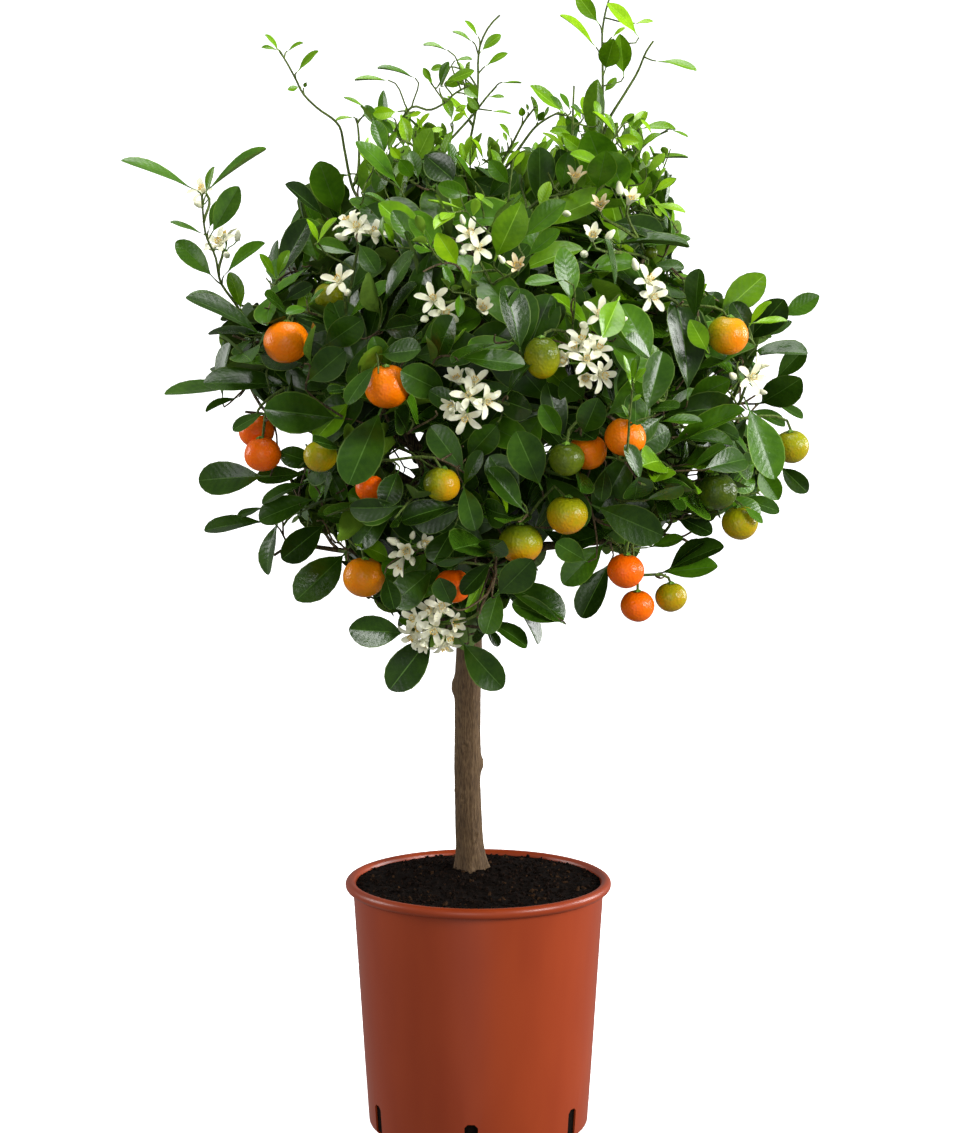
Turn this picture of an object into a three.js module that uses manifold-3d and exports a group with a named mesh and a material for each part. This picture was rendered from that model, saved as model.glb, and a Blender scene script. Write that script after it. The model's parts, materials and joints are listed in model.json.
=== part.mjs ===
// A calamondin orange tree, grown as a standard on one clear stem, in a plastic nursery pot.
// Millimetres, +Z up, +X to the right and +Y to the back. The origin is the centre of the
// pot's flat underside. The tree is a trunk, boughs that leave it in its head, and masses of
// foliage, one at the end of each bough. A mass is one solid: twigs that branch from a stem,
// with leaves, fruit and blossom fused to them. Pieces that meet stay GAP apart.

import * as THREE from "three";
import { mergeVertices } from "three/addons/utils/BufferGeometryUtils.js";
import Module from "manifold-3d";

const wasm = await Module();
wasm.setup();

// ---------------------------------------------------------------- driving dimensions

const GAP = 0.3; // between two pieces that meet

// The pot: a common 24 cm injection-moulded nursery pot with a rolled lip.
const POT_HEIGHT = 226;
const POT_LIP_RADIUS = 120;
const POT_LIP_HEIGHT = 9.5;
const POT_TOP_RADIUS = 112.3; // outside of the wall, just under the lip
const POT_BASE_RADIUS = 98.9;
const POT_WALL = 2;
const POT_FLOOR = 3;
const POT_CORNER = 5; // rounding between floor and wall
const POT_SIDES = 30;

// Drain slots, cut through the foot of the wall.
const SLOT_COUNT = 6;
const SLOT_TURN = THREE.MathUtils.degToRad(-93.5); // the first one, almost at the front
const SLOT_WIDTH = 12;
const SLOT_LOW = 2;
const SLOT_HIGH = 29;
const SLOT_CHAMFER = 3;

// Potting soil, mounded a little round the stem.
const SOIL_EDGE = 219;
const SOIL_TOP = 226;
const SOIL_FLAT_RADIUS = 24; // the level patch that the trunk stands on

// The trunk: its axis from the soil to its fork, and its radius at those heights.
const TRUNK_AXIS = [[-5.5, 30], [-8, 29.3], [-9.7, 28], [-9.6, 25], [-7.5, 22], [-5, 20], [0, 13]];
const TRUNK_HEIGHTS = [226.3, 252, 306, 378, 450, 511, 612];
const TRUNK_RADII = [14.2, 12.4, 11.9, 11.6, 11.5, 11.2, 7.5];
const TRUNK_FLARE = 2.6; // how far the root buttresses stand out at the soil
const TRUNK_FLARE_HEIGHT = 22;
const TRUNK_SIDES = 10;
const TRUNK_RINGS = 11;

// Knots: healed-over shoots on the trunk, as [height, turn round the trunk, radius].
const KNOTS = [[396, 3.3, 5], [325, 0.1, 4.2], [300, 3.3, 3.4]];
const KNOT_SUNK = 0.25; // of its radius
const KNOT_TALL = 1.3; // for its width

// The crown: an egg of foliage, with taller shoots standing out of its top.
const CROWN_CENTRE = new THREE.Vector3(22, 5, 640);
const CROWN_HALF = new THREE.Vector3(285, 250, 232);

// The eye that looks at the tree from the front. What hides a fruit, and where sky shows
// through the crown, are told as seen from here.
const FRONT_EYE = new THREE.Vector3(6, -2600, 850);

// Masses of foliage by the place of their hearts. A mass keeps to the space that lies
// nearer to its own heart than to any other.
const MASSES = {
  lower_left: { heart: [-175, -80, 528], carrier: "trunk", from: 0.7 },
  lower_left_back: { heart: [-125, 120, 530], carrier: "trunk", from: 0.74 },
  lower_front: { heart: [15, -150, 520], carrier: "trunk", from: 0.72 },
  lower_right: { heart: [190, -50, 530], carrier: "trunk", from: 0.71 },
  lower_back: { heart: [70, 160, 525], carrier: "trunk", from: 0.76 },
  middle_left: { heart: [-205, 0, 645], carrier: "trunk", from: 0.8 },
  middle_front_left: { heart: [-85, -150, 640], carrier: "trunk", from: 0.83 },
  middle_front_right: { heart: [95, -150, 650], carrier: "trunk", from: 0.86 },
  middle_right: { heart: [235, -25, 655], carrier: "trunk", from: 0.82 },
  middle_right_back: { heart: [165, 140, 655], carrier: "lower_back", from: 0.3 },
  middle_left_back: { heart: [-100, 160, 655], carrier: "trunk", from: 0.9 },
  upper_left: { heart: [-160, -25, 772], carrier: "middle_left", from: 0.35 },
  upper_front: { heart: [5, -85, 785], carrier: "trunk", from: 0.985 },
  upper_right: { heart: [150, -30, 792], carrier: "middle_right", from: 0.3 },
  upper_back: { heart: [15, 115, 795], carrier: "trunk", from: 0.95 },
  low_sprig: { heart: [-30, -60, 455], carrier: "trunk", from: 0.6, short: true },
};

const BOUGH_RADIUS = 6.4; // where it leaves its carrier
const BOUGH_TIP_RADIUS = 3;
const BOUGH_SIDES = 5;
const BOUGH_RINGS = 4;
const BOUGH_SHARE = 0.5; // of the way to the heart, at least, that is bare bough
const BOUGH_ENTRY = 12; // how deep its tip lies in its mass's space
const BOUGH_RISE = 0.35; // how far it turns up as it leaves its carrier
const BOUGH_SINK = 0.1; // and down as it arrives
const SHORT_RISE = 0.1; // the same for a short one, low on the trunk
const SHORT_THIN = 0.6; // radius of a short one, for that of the others
const LEAVING = 0.35; // reach of a limb's curve, of its length, along the way it leaves
const ARRIVING = 0.33; // and along the way it arrives

// Twigs and leaves. A leaf here stands for two or three of the real ones, and is larger.
const TWIG_RADIUS = 1.5;
const TWIG_TIP_RADIUS = 1.3;
const TWIG_ROOT = 0.6; // how far from another twig's middle line its own line starts
const TWIG_RINGS = 2;
const SHORTEST_TWIG = 8;
const STEM_RINGS = 3; // on a mass's stem
const STEM_TIP_RADIUS = 2;
const STEM_PAST_HEART = 12;
const NODE_SPACING = 22; // between the places on a twig where others may leave it
const SHELL_TWIGS = 130; // twigs that end in the crown's outer shell
const SHELL_DEPTH = 0.86; // where they end, of the crown's half-sizes
const INNER_TWIGS = 12;
const INNER_DEPTH = 0.56;
const YOUNG_TWIGS = 120; // spread like the others, but grown only at the crown's top
const YOUNG_LOW = 0.35; // the lowest, of the crown's upper half
const YOUNG_DEPTH = [0.98, 1.2];
const TWIG_KEEPS_ON = 0.35; // how far a twig keeps to the heading of what it leaves
const TWIG_SWING = 5; // how far it swings to either side
const TWIG_BOWS = [0, 14, -14]; // tried in turn, up and down, to get past a fruit
const TURN_BACK_COST = 0.45; // of a node that faces away from where a twig is to go
const PATH_COST = 0.25; // of a node far from the stem's foot
const NODES_TRIED = 5;
const LEAF_LENGTH = 74;
const LEAF_WIDTH = 0.58; // of its length
const LEAF_THICK = 1.3;
const LEAF_SUNK = 0.2; // how far its root lies beyond the twig's middle line
const LEAF_FOLD = 0.06; // how far its edges stand above its midrib, of its length
const LEAF_SPACING = 21;
const LEAF_BARE = 0.15; // the inner part of a twig, without leaves
const LAST_LEAF = 0.9; // where on a twig the leaf at its tip is rooted
const LEAF_AXIL = 0.95; // angle between leaf and twig, in radians
const LAST_LEAF_AXIL = 0.15;
const LEAF_SIZES = [0.86, 1.14]; // of LEAF_LENGTH
const LEAF_TURNS = [0, 0.5, -0.5, 1, -1, 1.6, -1.6, 2.4, 3.1]; // tried in turn, round the twig
const LEAF_OUTWARD = 0.3; // how far leaves turn out of the crown
const LEAF_LIFT = { low: 440, high: 860, from: -0.44, to: 0.4 }; // how far they hang or rise, by height
const LEAF_LIGHT = 0.8; // how far their faces turn up to the light
const LEAF_UNEVEN = 0.35; // and to any side
const GOLDEN_TURN = 2.39996; // from one leaf or twig to the next
const SMALLEST_EDGE = 0.05; // shorter ones, left where twigs join, are closed up
const PINCH = 0.01; // corners nearer than this would close up into a pinch
const TIDY_JOINT = 14; // triangles that fusing a piece on may add to its own
const TWIG_JOINT = 70;
const SHOOT_JOINT = 56;
const SHOOT_LEAF_JOINT = 42;
const CLEARANCE = 0.6; // that twigs and leaves keep from limbs, fruit and each other

// Fruit that shows: [x, y, z, diameter, open], where open is the share of its width that
// no leaf hides from the front.
const FRUIT = [
  [-158, -153, 715, 38, 1], [-73, -208, 682, 38, 0.8], [-186, -117, 638, 30, 0.6],
  [-179, -145, 621, 31, 1], [-129, -182, 623, 28, 0.6], [-88, -195, 598, 24, 0.4],
  [-95, -146, 518, 36, 0.9], [-29, -213, 603, 30, 1], [52, -217, 706, 34, 1],
  [72, -218, 624, 29, 1], [90, -184, 627, 32, 0.5], [120, -200, 640, 34, 0.7],
  [73, -203, 577, 34, 1], [35, -196, 553, 36, 1], [-21, -157, 512, 31, 0.3],
  [123, -158, 525, 31, 1], [135, -120, 490, 29, 1], [164, -109, 496, 27, 1],
  [207, -145, 720, 35, 1], [199, -154, 591, 33, 0.8], [221, -120, 561, 31, 1],
  [266, -96, 623, 30, 0.6], [-124, -122, 751, 25, 0.4],
];
const BACK_FRUIT = 16; // more of them round the sides and back, placed by rule
const FRUIT_SIZES = [26, 38];
const FRUIT_SIDES = 6;
const FRUIT_BANDS = 4;
const FRUIT_SQUAT = 0.94; // height of a fruit for its width
const STALK_SEAT = [0.9, 0.6]; // where its stalk ends, beside the pole
const STALK_HEIGHT = 0.7; // and above its middle, of its radius

// Blossom that shows: [x, y, z, flowers].
const BLOSSOM = [
  [-36, -195, 750, 2], [4, -205, 742, 1], [-8, -222, 677, 3],
  [95, -210, 701, 2], [-36, -116, 471, 3], [-58, -181, 546, 2], [-6, -160, 802, 2],
  [-100, -125, 806, 2], [-113, -158, 764, 1], [-224, 0, 790, 1], [33, -185, 775, 1],
  [94, -153, 798, 1], [139, -164, 764, 2], [98, -199, 738, 1], [226, -140, 684, 1],
];
const BACK_BLOSSOM = 12;
const FLOWER_RADIUS = 18;
const FLOWER_WAIST = 7; // where two petals part
const FLOWER_THICK = 6; // at its middle, with the stamens
const FLOWER_CUP = 4; // how far the petals' tips stand forward
const FLOWER_LEAN = 0.75; // how far the flowers of a cluster lean apart
const FLOWER_APART = 6;
const FLOWER_SINK = 4.5; // how far leaning flowers lie behind the cluster's middle
const CLUSTER_REACH = 1.35; // of a cluster, for that of one flower
const BLOSSOM_OPEN = 0.75; // share of its width that no leaf hides from the front

// Shoots that stand out of the crown: the points they pass, and the leaves at the tip as
// [across, up] from it.
const SHOOTS = [
  { path: [[-194, -20, 744], [-227, -10, 783], [-239, 0, 838]], leaves: [[-63, 31], [56, 39]],
    size: 60, width: 0.52 },
  { path: [[-111, 20, 835], [-119, 20, 885], [-146, 20, 915], [-170, 20, 952]],
    leaves: [[-14, 20], [-24, 8], [24, 14]] },
  { path: [[-62, -10, 872], [-50, -10, 907], [-15, 0, 926]], leaves: [[26, 14]] },
  { path: [[-42, -12, 868], [-42, -12, 907], [-24, -12, 955]], leaves: [[10, 22], [-22, 12]] },
  { path: [[-14, 40, 858], [-7, 40, 899], [0, 40, 952]], leaves: [[19, 37], [-20, 30]] },
  { path: [[24, -25, 852], [48, -30, 885], [62, -35, 899]], leaves: [[-24, 30], [4, 26]] },
  { path: [[112, 0, 880], [109, 0, 960], [117, 0, 998]], leaves: [[-32, 22], [22, 20], [6, 34]] },
  { path: [[116, -22, 884], [137, -22, 938], [150, -22, 964]], leaves: [[38, -17]] },
  { path: [[125, -45, 846], [150, -42, 870], [162, -42, 886]], leaves: [[16, 10]] },
  { path: [[-30, -50, 464], [-52, -62, 456]], leaves: [[-62, 2], [-32, -56]], size: 50, width: 0.56 },
  { path: [[-12, -52, 458], [2, -66, 449]], leaves: [[16, -42], [54, -2]], size: 50, width: 0.56 },
];
const SHOOT_LEAF = 46; // leaves on most shoots are young and small
const SHOOT_LEAF_WIDTH = 0.42;
const SHOOT_LEAF_SPACING = 21;
const CROWN_REACH = 1.07; // how far leaves reach that aren't on shoots, of its half-sizes

// Where sky shows through the crown, as seen from the front: [x, z, radius].
const SKY = [[-68, 606, 11], [103, 642, 5], [194, 628, 9], [192, 590, 7], [210, 668, 11],
  [84, 496, 17], [-158, 498, 12], [-20, 616, 6], [244, 808, 34], [-186, 822, 14],
  [-146, 880, 16], [82, 420, 24], [-30, 420, 8]];

// The crown's outline as seen from the front, without the long shoots: [x, z] in turn.
const OUTLINE = [[-43, 422], [-66, 395], [-86, 428], [-116, 453], [-112, 472], [-142, 476],
  [-165, 496], [-171, 514], [-198, 501], [-204, 524], [-191, 542], [-246, 546], [-218, 562],
  [-251, 588], [-210, 620], [-217, 657], [-277, 661], [-264, 669], [-231, 699], [-237, 717],
  [-252, 743], [-215, 776], [-169, 776], [-159, 799], [-168, 842], [-140, 864], [-119, 854],
  [-120, 890], [-104, 918], [-68, 923], [-58, 945], [-23, 948], [-9, 969], [15, 972],
  [20, 940], [40, 919], [72, 933], [92, 923], [98, 953], [121, 957], [140, 912], [182, 892],
  [163, 871], [169, 825], [188, 799], [173, 776], [197, 757], [232, 771], [257, 752],
  [301, 746], [287, 717], [289, 697], [268, 669], [283, 642], [281, 607], [291, 583],
  [275, 569], [251, 538], [215, 531], [212, 503], [187, 487], [186, 467], [143, 453],
  [120, 465], [113, 485], [92, 462], [88, 487], [107, 514], [81, 514], [69, 492],
  [83, 472], [65, 444], [30, 438], [19, 402], [-8, 417]];
const DRAWN_IN = [1, 0.93, 0.86, 0.79]; // shares tried, for a twig that would end outside it

const COLOURS = {
  terracotta: 0xa8472a, peat: 0x2a1a10, bark: 0x6b5238, foliage: 0x2f5a1c,
};

// ---------------------------------------------------------------- small helpers

const UP = new THREE.Vector3(0, 0, 1);
const vec = (point) => new THREE.Vector3(...point);
const mix = (a, b, share) => a.clone().lerp(b, share);

// Numbers from 0 to 1 that are the same on every run.
function seeded(seed) {
  let state = seed;
  return () => {
    state = (state + 0x6d2b79f5) | 0;
    let t = Math.imul(state ^ (state >>> 15), 1 | state);
    t = (t + Math.imul(t ^ (t >>> 7), 61 | t)) ^ t;
    return ((t ^ (t >>> 14)) >>> 0) / 4294967296;
  };
}

// A closed geometry as a solid: equal corners merged, flat-pinched triangles dropped, and
// turned the right way out.
function solidOf(geometry) {
  const bare = geometry.clone();
  bare.deleteAttribute("normal");
  bare.deleteAttribute("uv");
  const merged = mergeVertices(bare, 1e-4);
  const corners = merged.index.array;
  const faces = [];
  for (let i = 0; i < corners.length; i += 3) {
    const [a, b, c] = [corners[i], corners[i + 1], corners[i + 2]];
    if (a !== b && b !== c && c !== a) faces.push(a, b, c);
  }
  const vertProperties = new Float32Array(merged.attributes.position.array);
  const build = (triVerts) => new wasm.Manifold(new wasm.Mesh({ numProp: 3, vertProperties, triVerts }));
  const solid = build(new Uint32Array(faces));
  return solid.volume() > 0 ? solid : build(new Uint32Array(faces.reverse()));
}

// The largest body of a solid, with its sealed hollows filled and loose scraps dropped.
function mainBody(solid) {
  return solid.decompose().reduce((best, body) => (body.volume() > best.volume() ? body : best));
}

function hasPinch(solid) {
  const places = solid.getMesh().vertProperties;
  return [0, PINCH / 2].some((shift) => {
    const cells = new Set();
    for (let i = 0; i < places.length; i += 3) {
      cells.add([0, 1, 2].map((axis) => Math.round((places[i + axis] + shift) / PINCH)).join());
    }
    return cells.size < places.length / 3;
  });
}

function meshOf(name, solid, colour, roughness) {
  const { vertProperties, triVerts } = solid.getMesh();
  const geometry = new THREE.BufferGeometry();
  geometry.setAttribute("position", new THREE.BufferAttribute(vertProperties, 3));
  geometry.setIndex(new THREE.BufferAttribute(triVerts, 1));
  geometry.computeVertexNormals();
  const material = new THREE.MeshStandardMaterial({ color: colour, roughness, metalness: 0 });
  material.flatShading = true;
  const mesh = new THREE.Mesh(geometry, material);
  mesh.name = name;
  return mesh;
}

// A turned form: [radius, height] points spun round the Z axis.
function turned(profile) {
  const points = profile.map(([radius, height]) => new THREE.Vector2(radius, height));
  return solidOf(new THREE.LatheGeometry(points, POT_SIDES).rotateX(Math.PI / 2));
}

// A limb: a cylinder bent along a curve, its radius told at each share of its length and
// turn round it.
function limb(curve, radiusAt, sides, rings) {
  const cylinder = new THREE.CylinderGeometry(1, 1, 1, sides, rings);
  const { normals, binormals } = curve.computeFrenetFrames(rings);
  const places = cylinder.attributes.position;
  for (let i = 0; i < places.count; i += 1) {
    const share = 0.5 - places.getY(i);
    const ring = Math.round(share * rings);
    const turn = Math.atan2(places.getX(i), places.getZ(i));
    const radius = Math.hypot(places.getX(i), places.getZ(i)) * radiusAt(share, turn);
    const place = curve.getPointAt(share)
      .addScaledVector(normals[ring], radius * Math.cos(turn))
      .addScaledVector(binormals[ring], radius * Math.sin(turn));
    places.setXYZ(i, place.x, place.y, place.z);
  }
  return solidOf(cylinder);
}

// A curve from one place to another that leaves and arrives in given headings.
function bend(start, leave, end, arrive) {
  const reach = start.distanceTo(end);
  return new THREE.CubicBezierCurve3(start, start.clone().addScaledVector(leave, reach * LEAVING),
    end.clone().addScaledVector(arrive, -reach * ARRIVING), end);
}

const taper = (from, to) => (share) => THREE.MathUtils.lerp(from, to, share);
const pointed = (from) => (share) => (share > 0.99 ? 0 : from * (1 - 0.1 * share));

// The middle line of a limb, which is straight between its rings, and its heading there.
function axisAt(curve, rings, share) {
  const ring = Math.min(rings - 1, Math.floor(share * rings));
  const [low, high] = [curve.getPointAt(ring / rings), curve.getPointAt((ring + 1) / rings)];
  return { place: mix(low, high, share * rings - ring), heading: high.sub(low).normalize() };
}

// ---------------------------------------------------------------- pot and soil

// Inside of the wall at a height: it leans out from the floor to the lip.
function potInside(height) {
  const share = height / (POT_HEIGHT - POT_LIP_HEIGHT);
  return THREE.MathUtils.lerp(POT_BASE_RADIUS, POT_TOP_RADIUS, share) - POT_WALL;
}

function potSolid() {
  const lipLow = POT_HEIGHT - POT_LIP_HEIGHT;
  const body = turned([
    [0, 0], [POT_BASE_RADIUS - POT_CORNER, 0],
    [POT_BASE_RADIUS - POT_CORNER * 0.3, POT_CORNER * 0.3], [POT_BASE_RADIUS, POT_CORNER],
    [POT_TOP_RADIUS, lipLow], [POT_LIP_RADIUS - 1.2, lipLow + 1.2],
    [POT_LIP_RADIUS, POT_HEIGHT - 4.5], [POT_LIP_RADIUS - 3.6, POT_HEIGHT],
    [POT_LIP_RADIUS - 7, POT_HEIGHT - 2.5],
    [potInside(lipLow), lipLow - 2], [potInside(POT_FLOOR), POT_FLOOR], [0, POT_FLOOR],
  ]);
  let pot = body;
  for (let i = 0; i < SLOT_COUNT; i += 1) {
    const half = SLOT_WIDTH / 2;
    const outline = new THREE.Shape([
      [-half, SLOT_LOW], [half, SLOT_LOW], [half, SLOT_HIGH - SLOT_CHAMFER],
      [half - SLOT_CHAMFER, SLOT_HIGH], [SLOT_CHAMFER - half, SLOT_HIGH],
      [-half, SLOT_HIGH - SLOT_CHAMFER],
    ].map(([across, up]) => new THREE.Vector2(across, up)));
    // Stood up, the outline's own depth runs along -Y; turned, it runs out through the wall.
    const cutter = new THREE.ExtrudeGeometry(outline, { depth: 20, bevelEnabled: false })
      .rotateX(Math.PI / 2)
      .translate(0, POT_BASE_RADIUS + 8, 0)
      .rotateZ(SLOT_TURN - Math.PI / 2 + (i * 2 * Math.PI) / SLOT_COUNT);
    pot = pot.subtract(solidOf(cutter));
  }
  return pot;
}

function soilSolid() {
  const foot = POT_FLOOR + GAP;
  const soil = turned([
    [0, foot], [potInside(foot) - GAP, foot], [potInside(SOIL_EDGE) - GAP, SOIL_EDGE],
    [POT_TOP_RADIUS * 0.72, SOIL_EDGE + 1], [POT_TOP_RADIUS * 0.42, SOIL_EDGE + 4.4],
    [SOIL_FLAT_RADIUS, SOIL_TOP], [0, SOIL_TOP],
  ]);
  // The mound stands where the stem does, a little behind the pot's middle.
  return soil.warp((point) => {
    const rise = THREE.MathUtils.smoothstep(point[2], SOIL_EDGE, SOIL_TOP);
    point[0] += TRUNK_AXIS[0][0] * rise;
    point[1] += TRUNK_AXIS[0][1] * rise;
  });
}

// ---------------------------------------------------------------- trunk and boughs

const trunkCurve = new THREE.CatmullRomCurve3(
  TRUNK_AXIS.map(([x, y], i) => new THREE.Vector3(x, y, TRUNK_HEIGHTS[i])),
);

function trunkRadius(share, turn = 0) {
  const height = trunkCurve.getPointAt(share).z;
  const next = Math.max(1, TRUNK_HEIGHTS.findIndex((mark) => mark >= height - 1e-6));
  const part = (height - TRUNK_HEIGHTS[next - 1]) / (TRUNK_HEIGHTS[next] - TRUNK_HEIGHTS[next - 1]);
  const plain = THREE.MathUtils.lerp(TRUNK_RADII[next - 1], TRUNK_RADII[next], part);
  const low = Math.max(0, 1 - (height - TRUNK_HEIGHTS[0]) / TRUNK_FLARE_HEIGHT);
  return plain + TRUNK_FLARE * low * low * Math.max(0, Math.cos(4 * turn + 0.6));
}

function trunkSolid() {
  let trunk = limb(trunkCurve, trunkRadius, TRUNK_SIDES, TRUNK_RINGS);
  for (const [height, turn, radius] of KNOTS) {
    const at = trunkAtHeight(height);
    const out = at.radius - radius * KNOT_SUNK;
    const knot = new THREE.SphereGeometry(radius, 6, 4).scale(1, 1, KNOT_TALL).translate(
      at.place.x + out * Math.cos(turn), at.place.y + out * Math.sin(turn), height);
    trunk = trunk.add(solidOf(knot));
  }
  // The flat cut at the soil, level with the ground.
  const [wide, deep] = [90, 20];
  const ground = new THREE.BoxGeometry(wide, wide, deep);
  ground.translate(TRUNK_AXIS[0][0], TRUNK_AXIS[0][1], SOIL_TOP + GAP - deep / 2);
  return mainBody(trunk.subtract(solidOf(ground)));
}

function trunkAtHeight(height) {
  let share = 0;
  while (share < 1 && trunkCurve.getPointAt(share).z < height) share += 0.005;
  return { place: trunkCurve.getPointAt(share), radius: trunkRadius(share) };
}

const hearts = Object.entries(MASSES).map(([name, mass]) => ({ name, at: vec(mass.heart) }));

// How far a point lies inside a mass's own space: the nearest of the planes half way to
// the other hearts.
function depthInSpace(name, point) {
  const own = hearts.find((heart) => heart.name === name);
  let depth = Infinity;
  for (const other of hearts) {
    if (other === own) continue;
    const apart = own.at.distanceTo(other.at);
    const difference = point.distanceToSquared(other.at) - point.distanceToSquared(own.at);
    depth = Math.min(depth, difference / (2 * apart));
  }
  return depth;
}

const spaceOf = (point) => hearts.reduce((best, heart) =>
  (point.distanceTo(heart.at) < point.distanceTo(best.at) ? heart : best)).name;

// Every bough runs from inside its carrier, in a rising curve, to where it enters its mass.
const boughs = {};
function planBough(name) {
  if (boughs[name]) return boughs[name];
  const mass = MASSES[name];
  const carrier = mass.carrier === "trunk" ? { curve: trunkCurve } : planBough(mass.carrier);
  const start = carrier.curve.getPointAt(mass.from);
  const heart = vec(mass.heart);
  const way = heart.clone().sub(start);
  const rise = mix(way.clone().normalize(), UP, mass.short ? SHORT_RISE : BOUGH_RISE).normalize();
  const arrive = mix(way.clone().normalize(), UP, -BOUGH_SINK).normalize();
  const whole = bend(start, rise, heart, arrive);
  let share = BOUGH_SHARE;
  while (share < 0.9 && depthInSpace(name, whole.getPointAt(share)) < BOUGH_ENTRY) share += 0.04;
  const tip = whole.getPointAt(share);
  const heading = whole.getTangentAt(share);
  const curve = bend(start, rise, tip, heading);
  const thin = mass.short ? SHORT_THIN : 1;
  boughs[name] = { curve, tip, heading, from: BOUGH_RADIUS * thin, to: BOUGH_TIP_RADIUS * thin };
  return boughs[name];
}
for (const name of Object.keys(MASSES)) planBough(name);

// The boughs are cut clear of the trunk and of each other, the carriers first.
function limbSolids() {
  const solids = { trunk: trunkSolid() };
  const swollen = [limb(trunkCurve, (share, turn) => trunkRadius(share, turn) + GAP + 0.1,
    TRUNK_SIDES, TRUNK_RINGS)];
  const order = Object.keys(boughs).sort((a, b) =>
    (MASSES[a].carrier === "trunk" ? 0 : 1) - (MASSES[b].carrier === "trunk" ? 0 : 1));
  for (const name of order) {
    const { curve, from, to } = boughs[name];
    let bough = limb(curve, taper(from, to), BOUGH_SIDES, BOUGH_RINGS);
    for (const other of [solids.trunk, ...swollen]) bough = bough.subtract(other);
    solids[`bough_${name}`] = mainBody(bough).simplify(SMALLEST_EDGE);
    swollen.push(limb(curve, taper(from + GAP + 0.1, to + GAP + 0.1), BOUGH_SIDES, BOUGH_RINGS));
  }
  return solids;
}

// ---------------------------------------------------------------- leaves, fruit, blossom

const outward = (point) => point.clone().sub(CROWN_CENTRE).divide(CROWN_HALF).divide(CROWN_HALF)
  .normalize();

// A blade of eight faces: an octahedron pressed flat, with its side corners lifted so that
// it folds along the midrib. Its root corner lies at the given place.
function leafSolid(root, along, facing, length, width) {
  const normal = facing.clone().addScaledVector(along, -facing.dot(along)).normalize();
  const side = new THREE.Vector3().crossVectors(normal, along);
  const blade = new THREE.OctahedronGeometry(1);
  const places = blade.attributes.position;
  for (let i = 0; i < places.count; i += 1) {
    const [far, across, up] = [places.getX(i), places.getY(i), places.getZ(i)];
    const place = root.clone().addScaledVector(along, (far + 1) * 0.5 * length)
      .addScaledVector(side, across * 0.5 * width)
      .addScaledVector(normal, up * 0.5 * LEAF_THICK + Math.abs(across) * LEAF_FOLD * length);
    places.setXYZ(i, place.x, place.y, place.z);
  }
  return { solid: solidOf(blade), side };
}

function fruitSolid([x, y, z, diameter]) {
  const ball = new THREE.SphereGeometry(diameter / 2, FRUIT_SIDES, FRUIT_BANDS).rotateX(Math.PI / 2);
  return solidOf(ball.scale(1, 1, FRUIT_SQUAT).translate(x, y, z));
}

// A flower as a cupped star: five petals from a thicker middle.
function flowerSolid(middle, facing, turn) {
  const frame = new THREE.Matrix4().lookAt(facing, new THREE.Vector3(), UP).setPosition(middle);
  const outline = [];
  for (let i = 0; i < 10; i += 1) {
    const reach = i % 2 ? FLOWER_WAIST : FLOWER_RADIUS;
    const angle = turn + (i * Math.PI) / 5;
    outline.push(new THREE.Vector3(reach * Math.cos(angle), reach * Math.sin(angle),
      i % 2 ? 0 : FLOWER_CUP));
  }
  const points = [...outline, new THREE.Vector3(0, 0, FLOWER_THICK / 2),
    new THREE.Vector3(0, 0, -FLOWER_THICK / 2)];
  const faces = [];
  for (let i = 0; i < 10; i += 1) faces.push(i, (i + 1) % 10, 10, (i + 1) % 10, i, 11);
  const geometry = new THREE.BufferGeometry().setFromPoints(points).applyMatrix4(frame);
  geometry.setIndex(faces);
  return solidOf(geometry);
}

// Golden-angle points over a sphere, as unit vectors from its top to its foot.
function spread(count) {
  return Array.from({ length: count }, (_, i) => {
    const height = 1 - (2 * (i + 0.5)) / count;
    const ring = Math.sqrt(1 - height * height);
    const turn = i * GOLDEN_TURN;
    return new THREE.Vector3(ring * Math.cos(turn), ring * Math.sin(turn), height);
  });
}

const crownShare = (point) => point.clone().sub(CROWN_CENTRE).divide(CROWN_HALF).length();
const onCrown = (unit, depth) => unit.clone().multiply(CROWN_HALF).multiplyScalar(depth)
  .add(CROWN_CENTRE);

// Fruit and blossom of the sides and back, spread by rule between the ones that show.
function withBackOnes() {
  const random = seeded(7);
  const fruit = [...FRUIT];
  for (const unit of spread(BACK_FRUIT * 3)) {
    if (unit.y < -0.25 || Math.abs(unit.z) > 0.62 || random() < 0.5) continue;
    const at = onCrown(unit, 0.84);
    const near = (other) => at.distanceTo(vec(other)) < 75;
    if (inSky(seen(at), FRUIT_SIZES[1]) || fruit.some(near)) continue;
    fruit.push([at.x, at.y, at.z, THREE.MathUtils.lerp(...FRUIT_SIZES, random()), 0]);
  }
  const blossom = [...BLOSSOM];
  for (const unit of spread(BACK_BLOSSOM * 4)) {
    if (unit.y < -0.2 || unit.z < -0.5 || random() < 0.75) continue;
    const at = onCrown(unit, 0.93);
    const near = (other) => at.distanceTo(vec(other)) < 60;
    if (inSky(seen(at), FLOWER_RADIUS) || fruit.some(near) || blossom.some(near)) continue;
    blossom.push([at.x, at.y, at.z, random() < 0.5 ? 1 : 2]);
  }
  return { fruit, blossom };
}

// A place as the front eye sees it, on the plane through the trunk.
function seen(point) {
  const share = FRONT_EYE.y / (FRONT_EYE.y - point.y);
  return new THREE.Vector2(
    FRONT_EYE.x + (point.x - FRONT_EYE.x) * share, FRONT_EYE.z + (point.z - FRONT_EYE.z) * share);
}

function inSky(place, margin = 0) {
  return SKY.some(([x, z, radius]) => Math.hypot(place.x - x, place.y - z) < radius + margin);
}

// ---------------------------------------------------------------- growth

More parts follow.
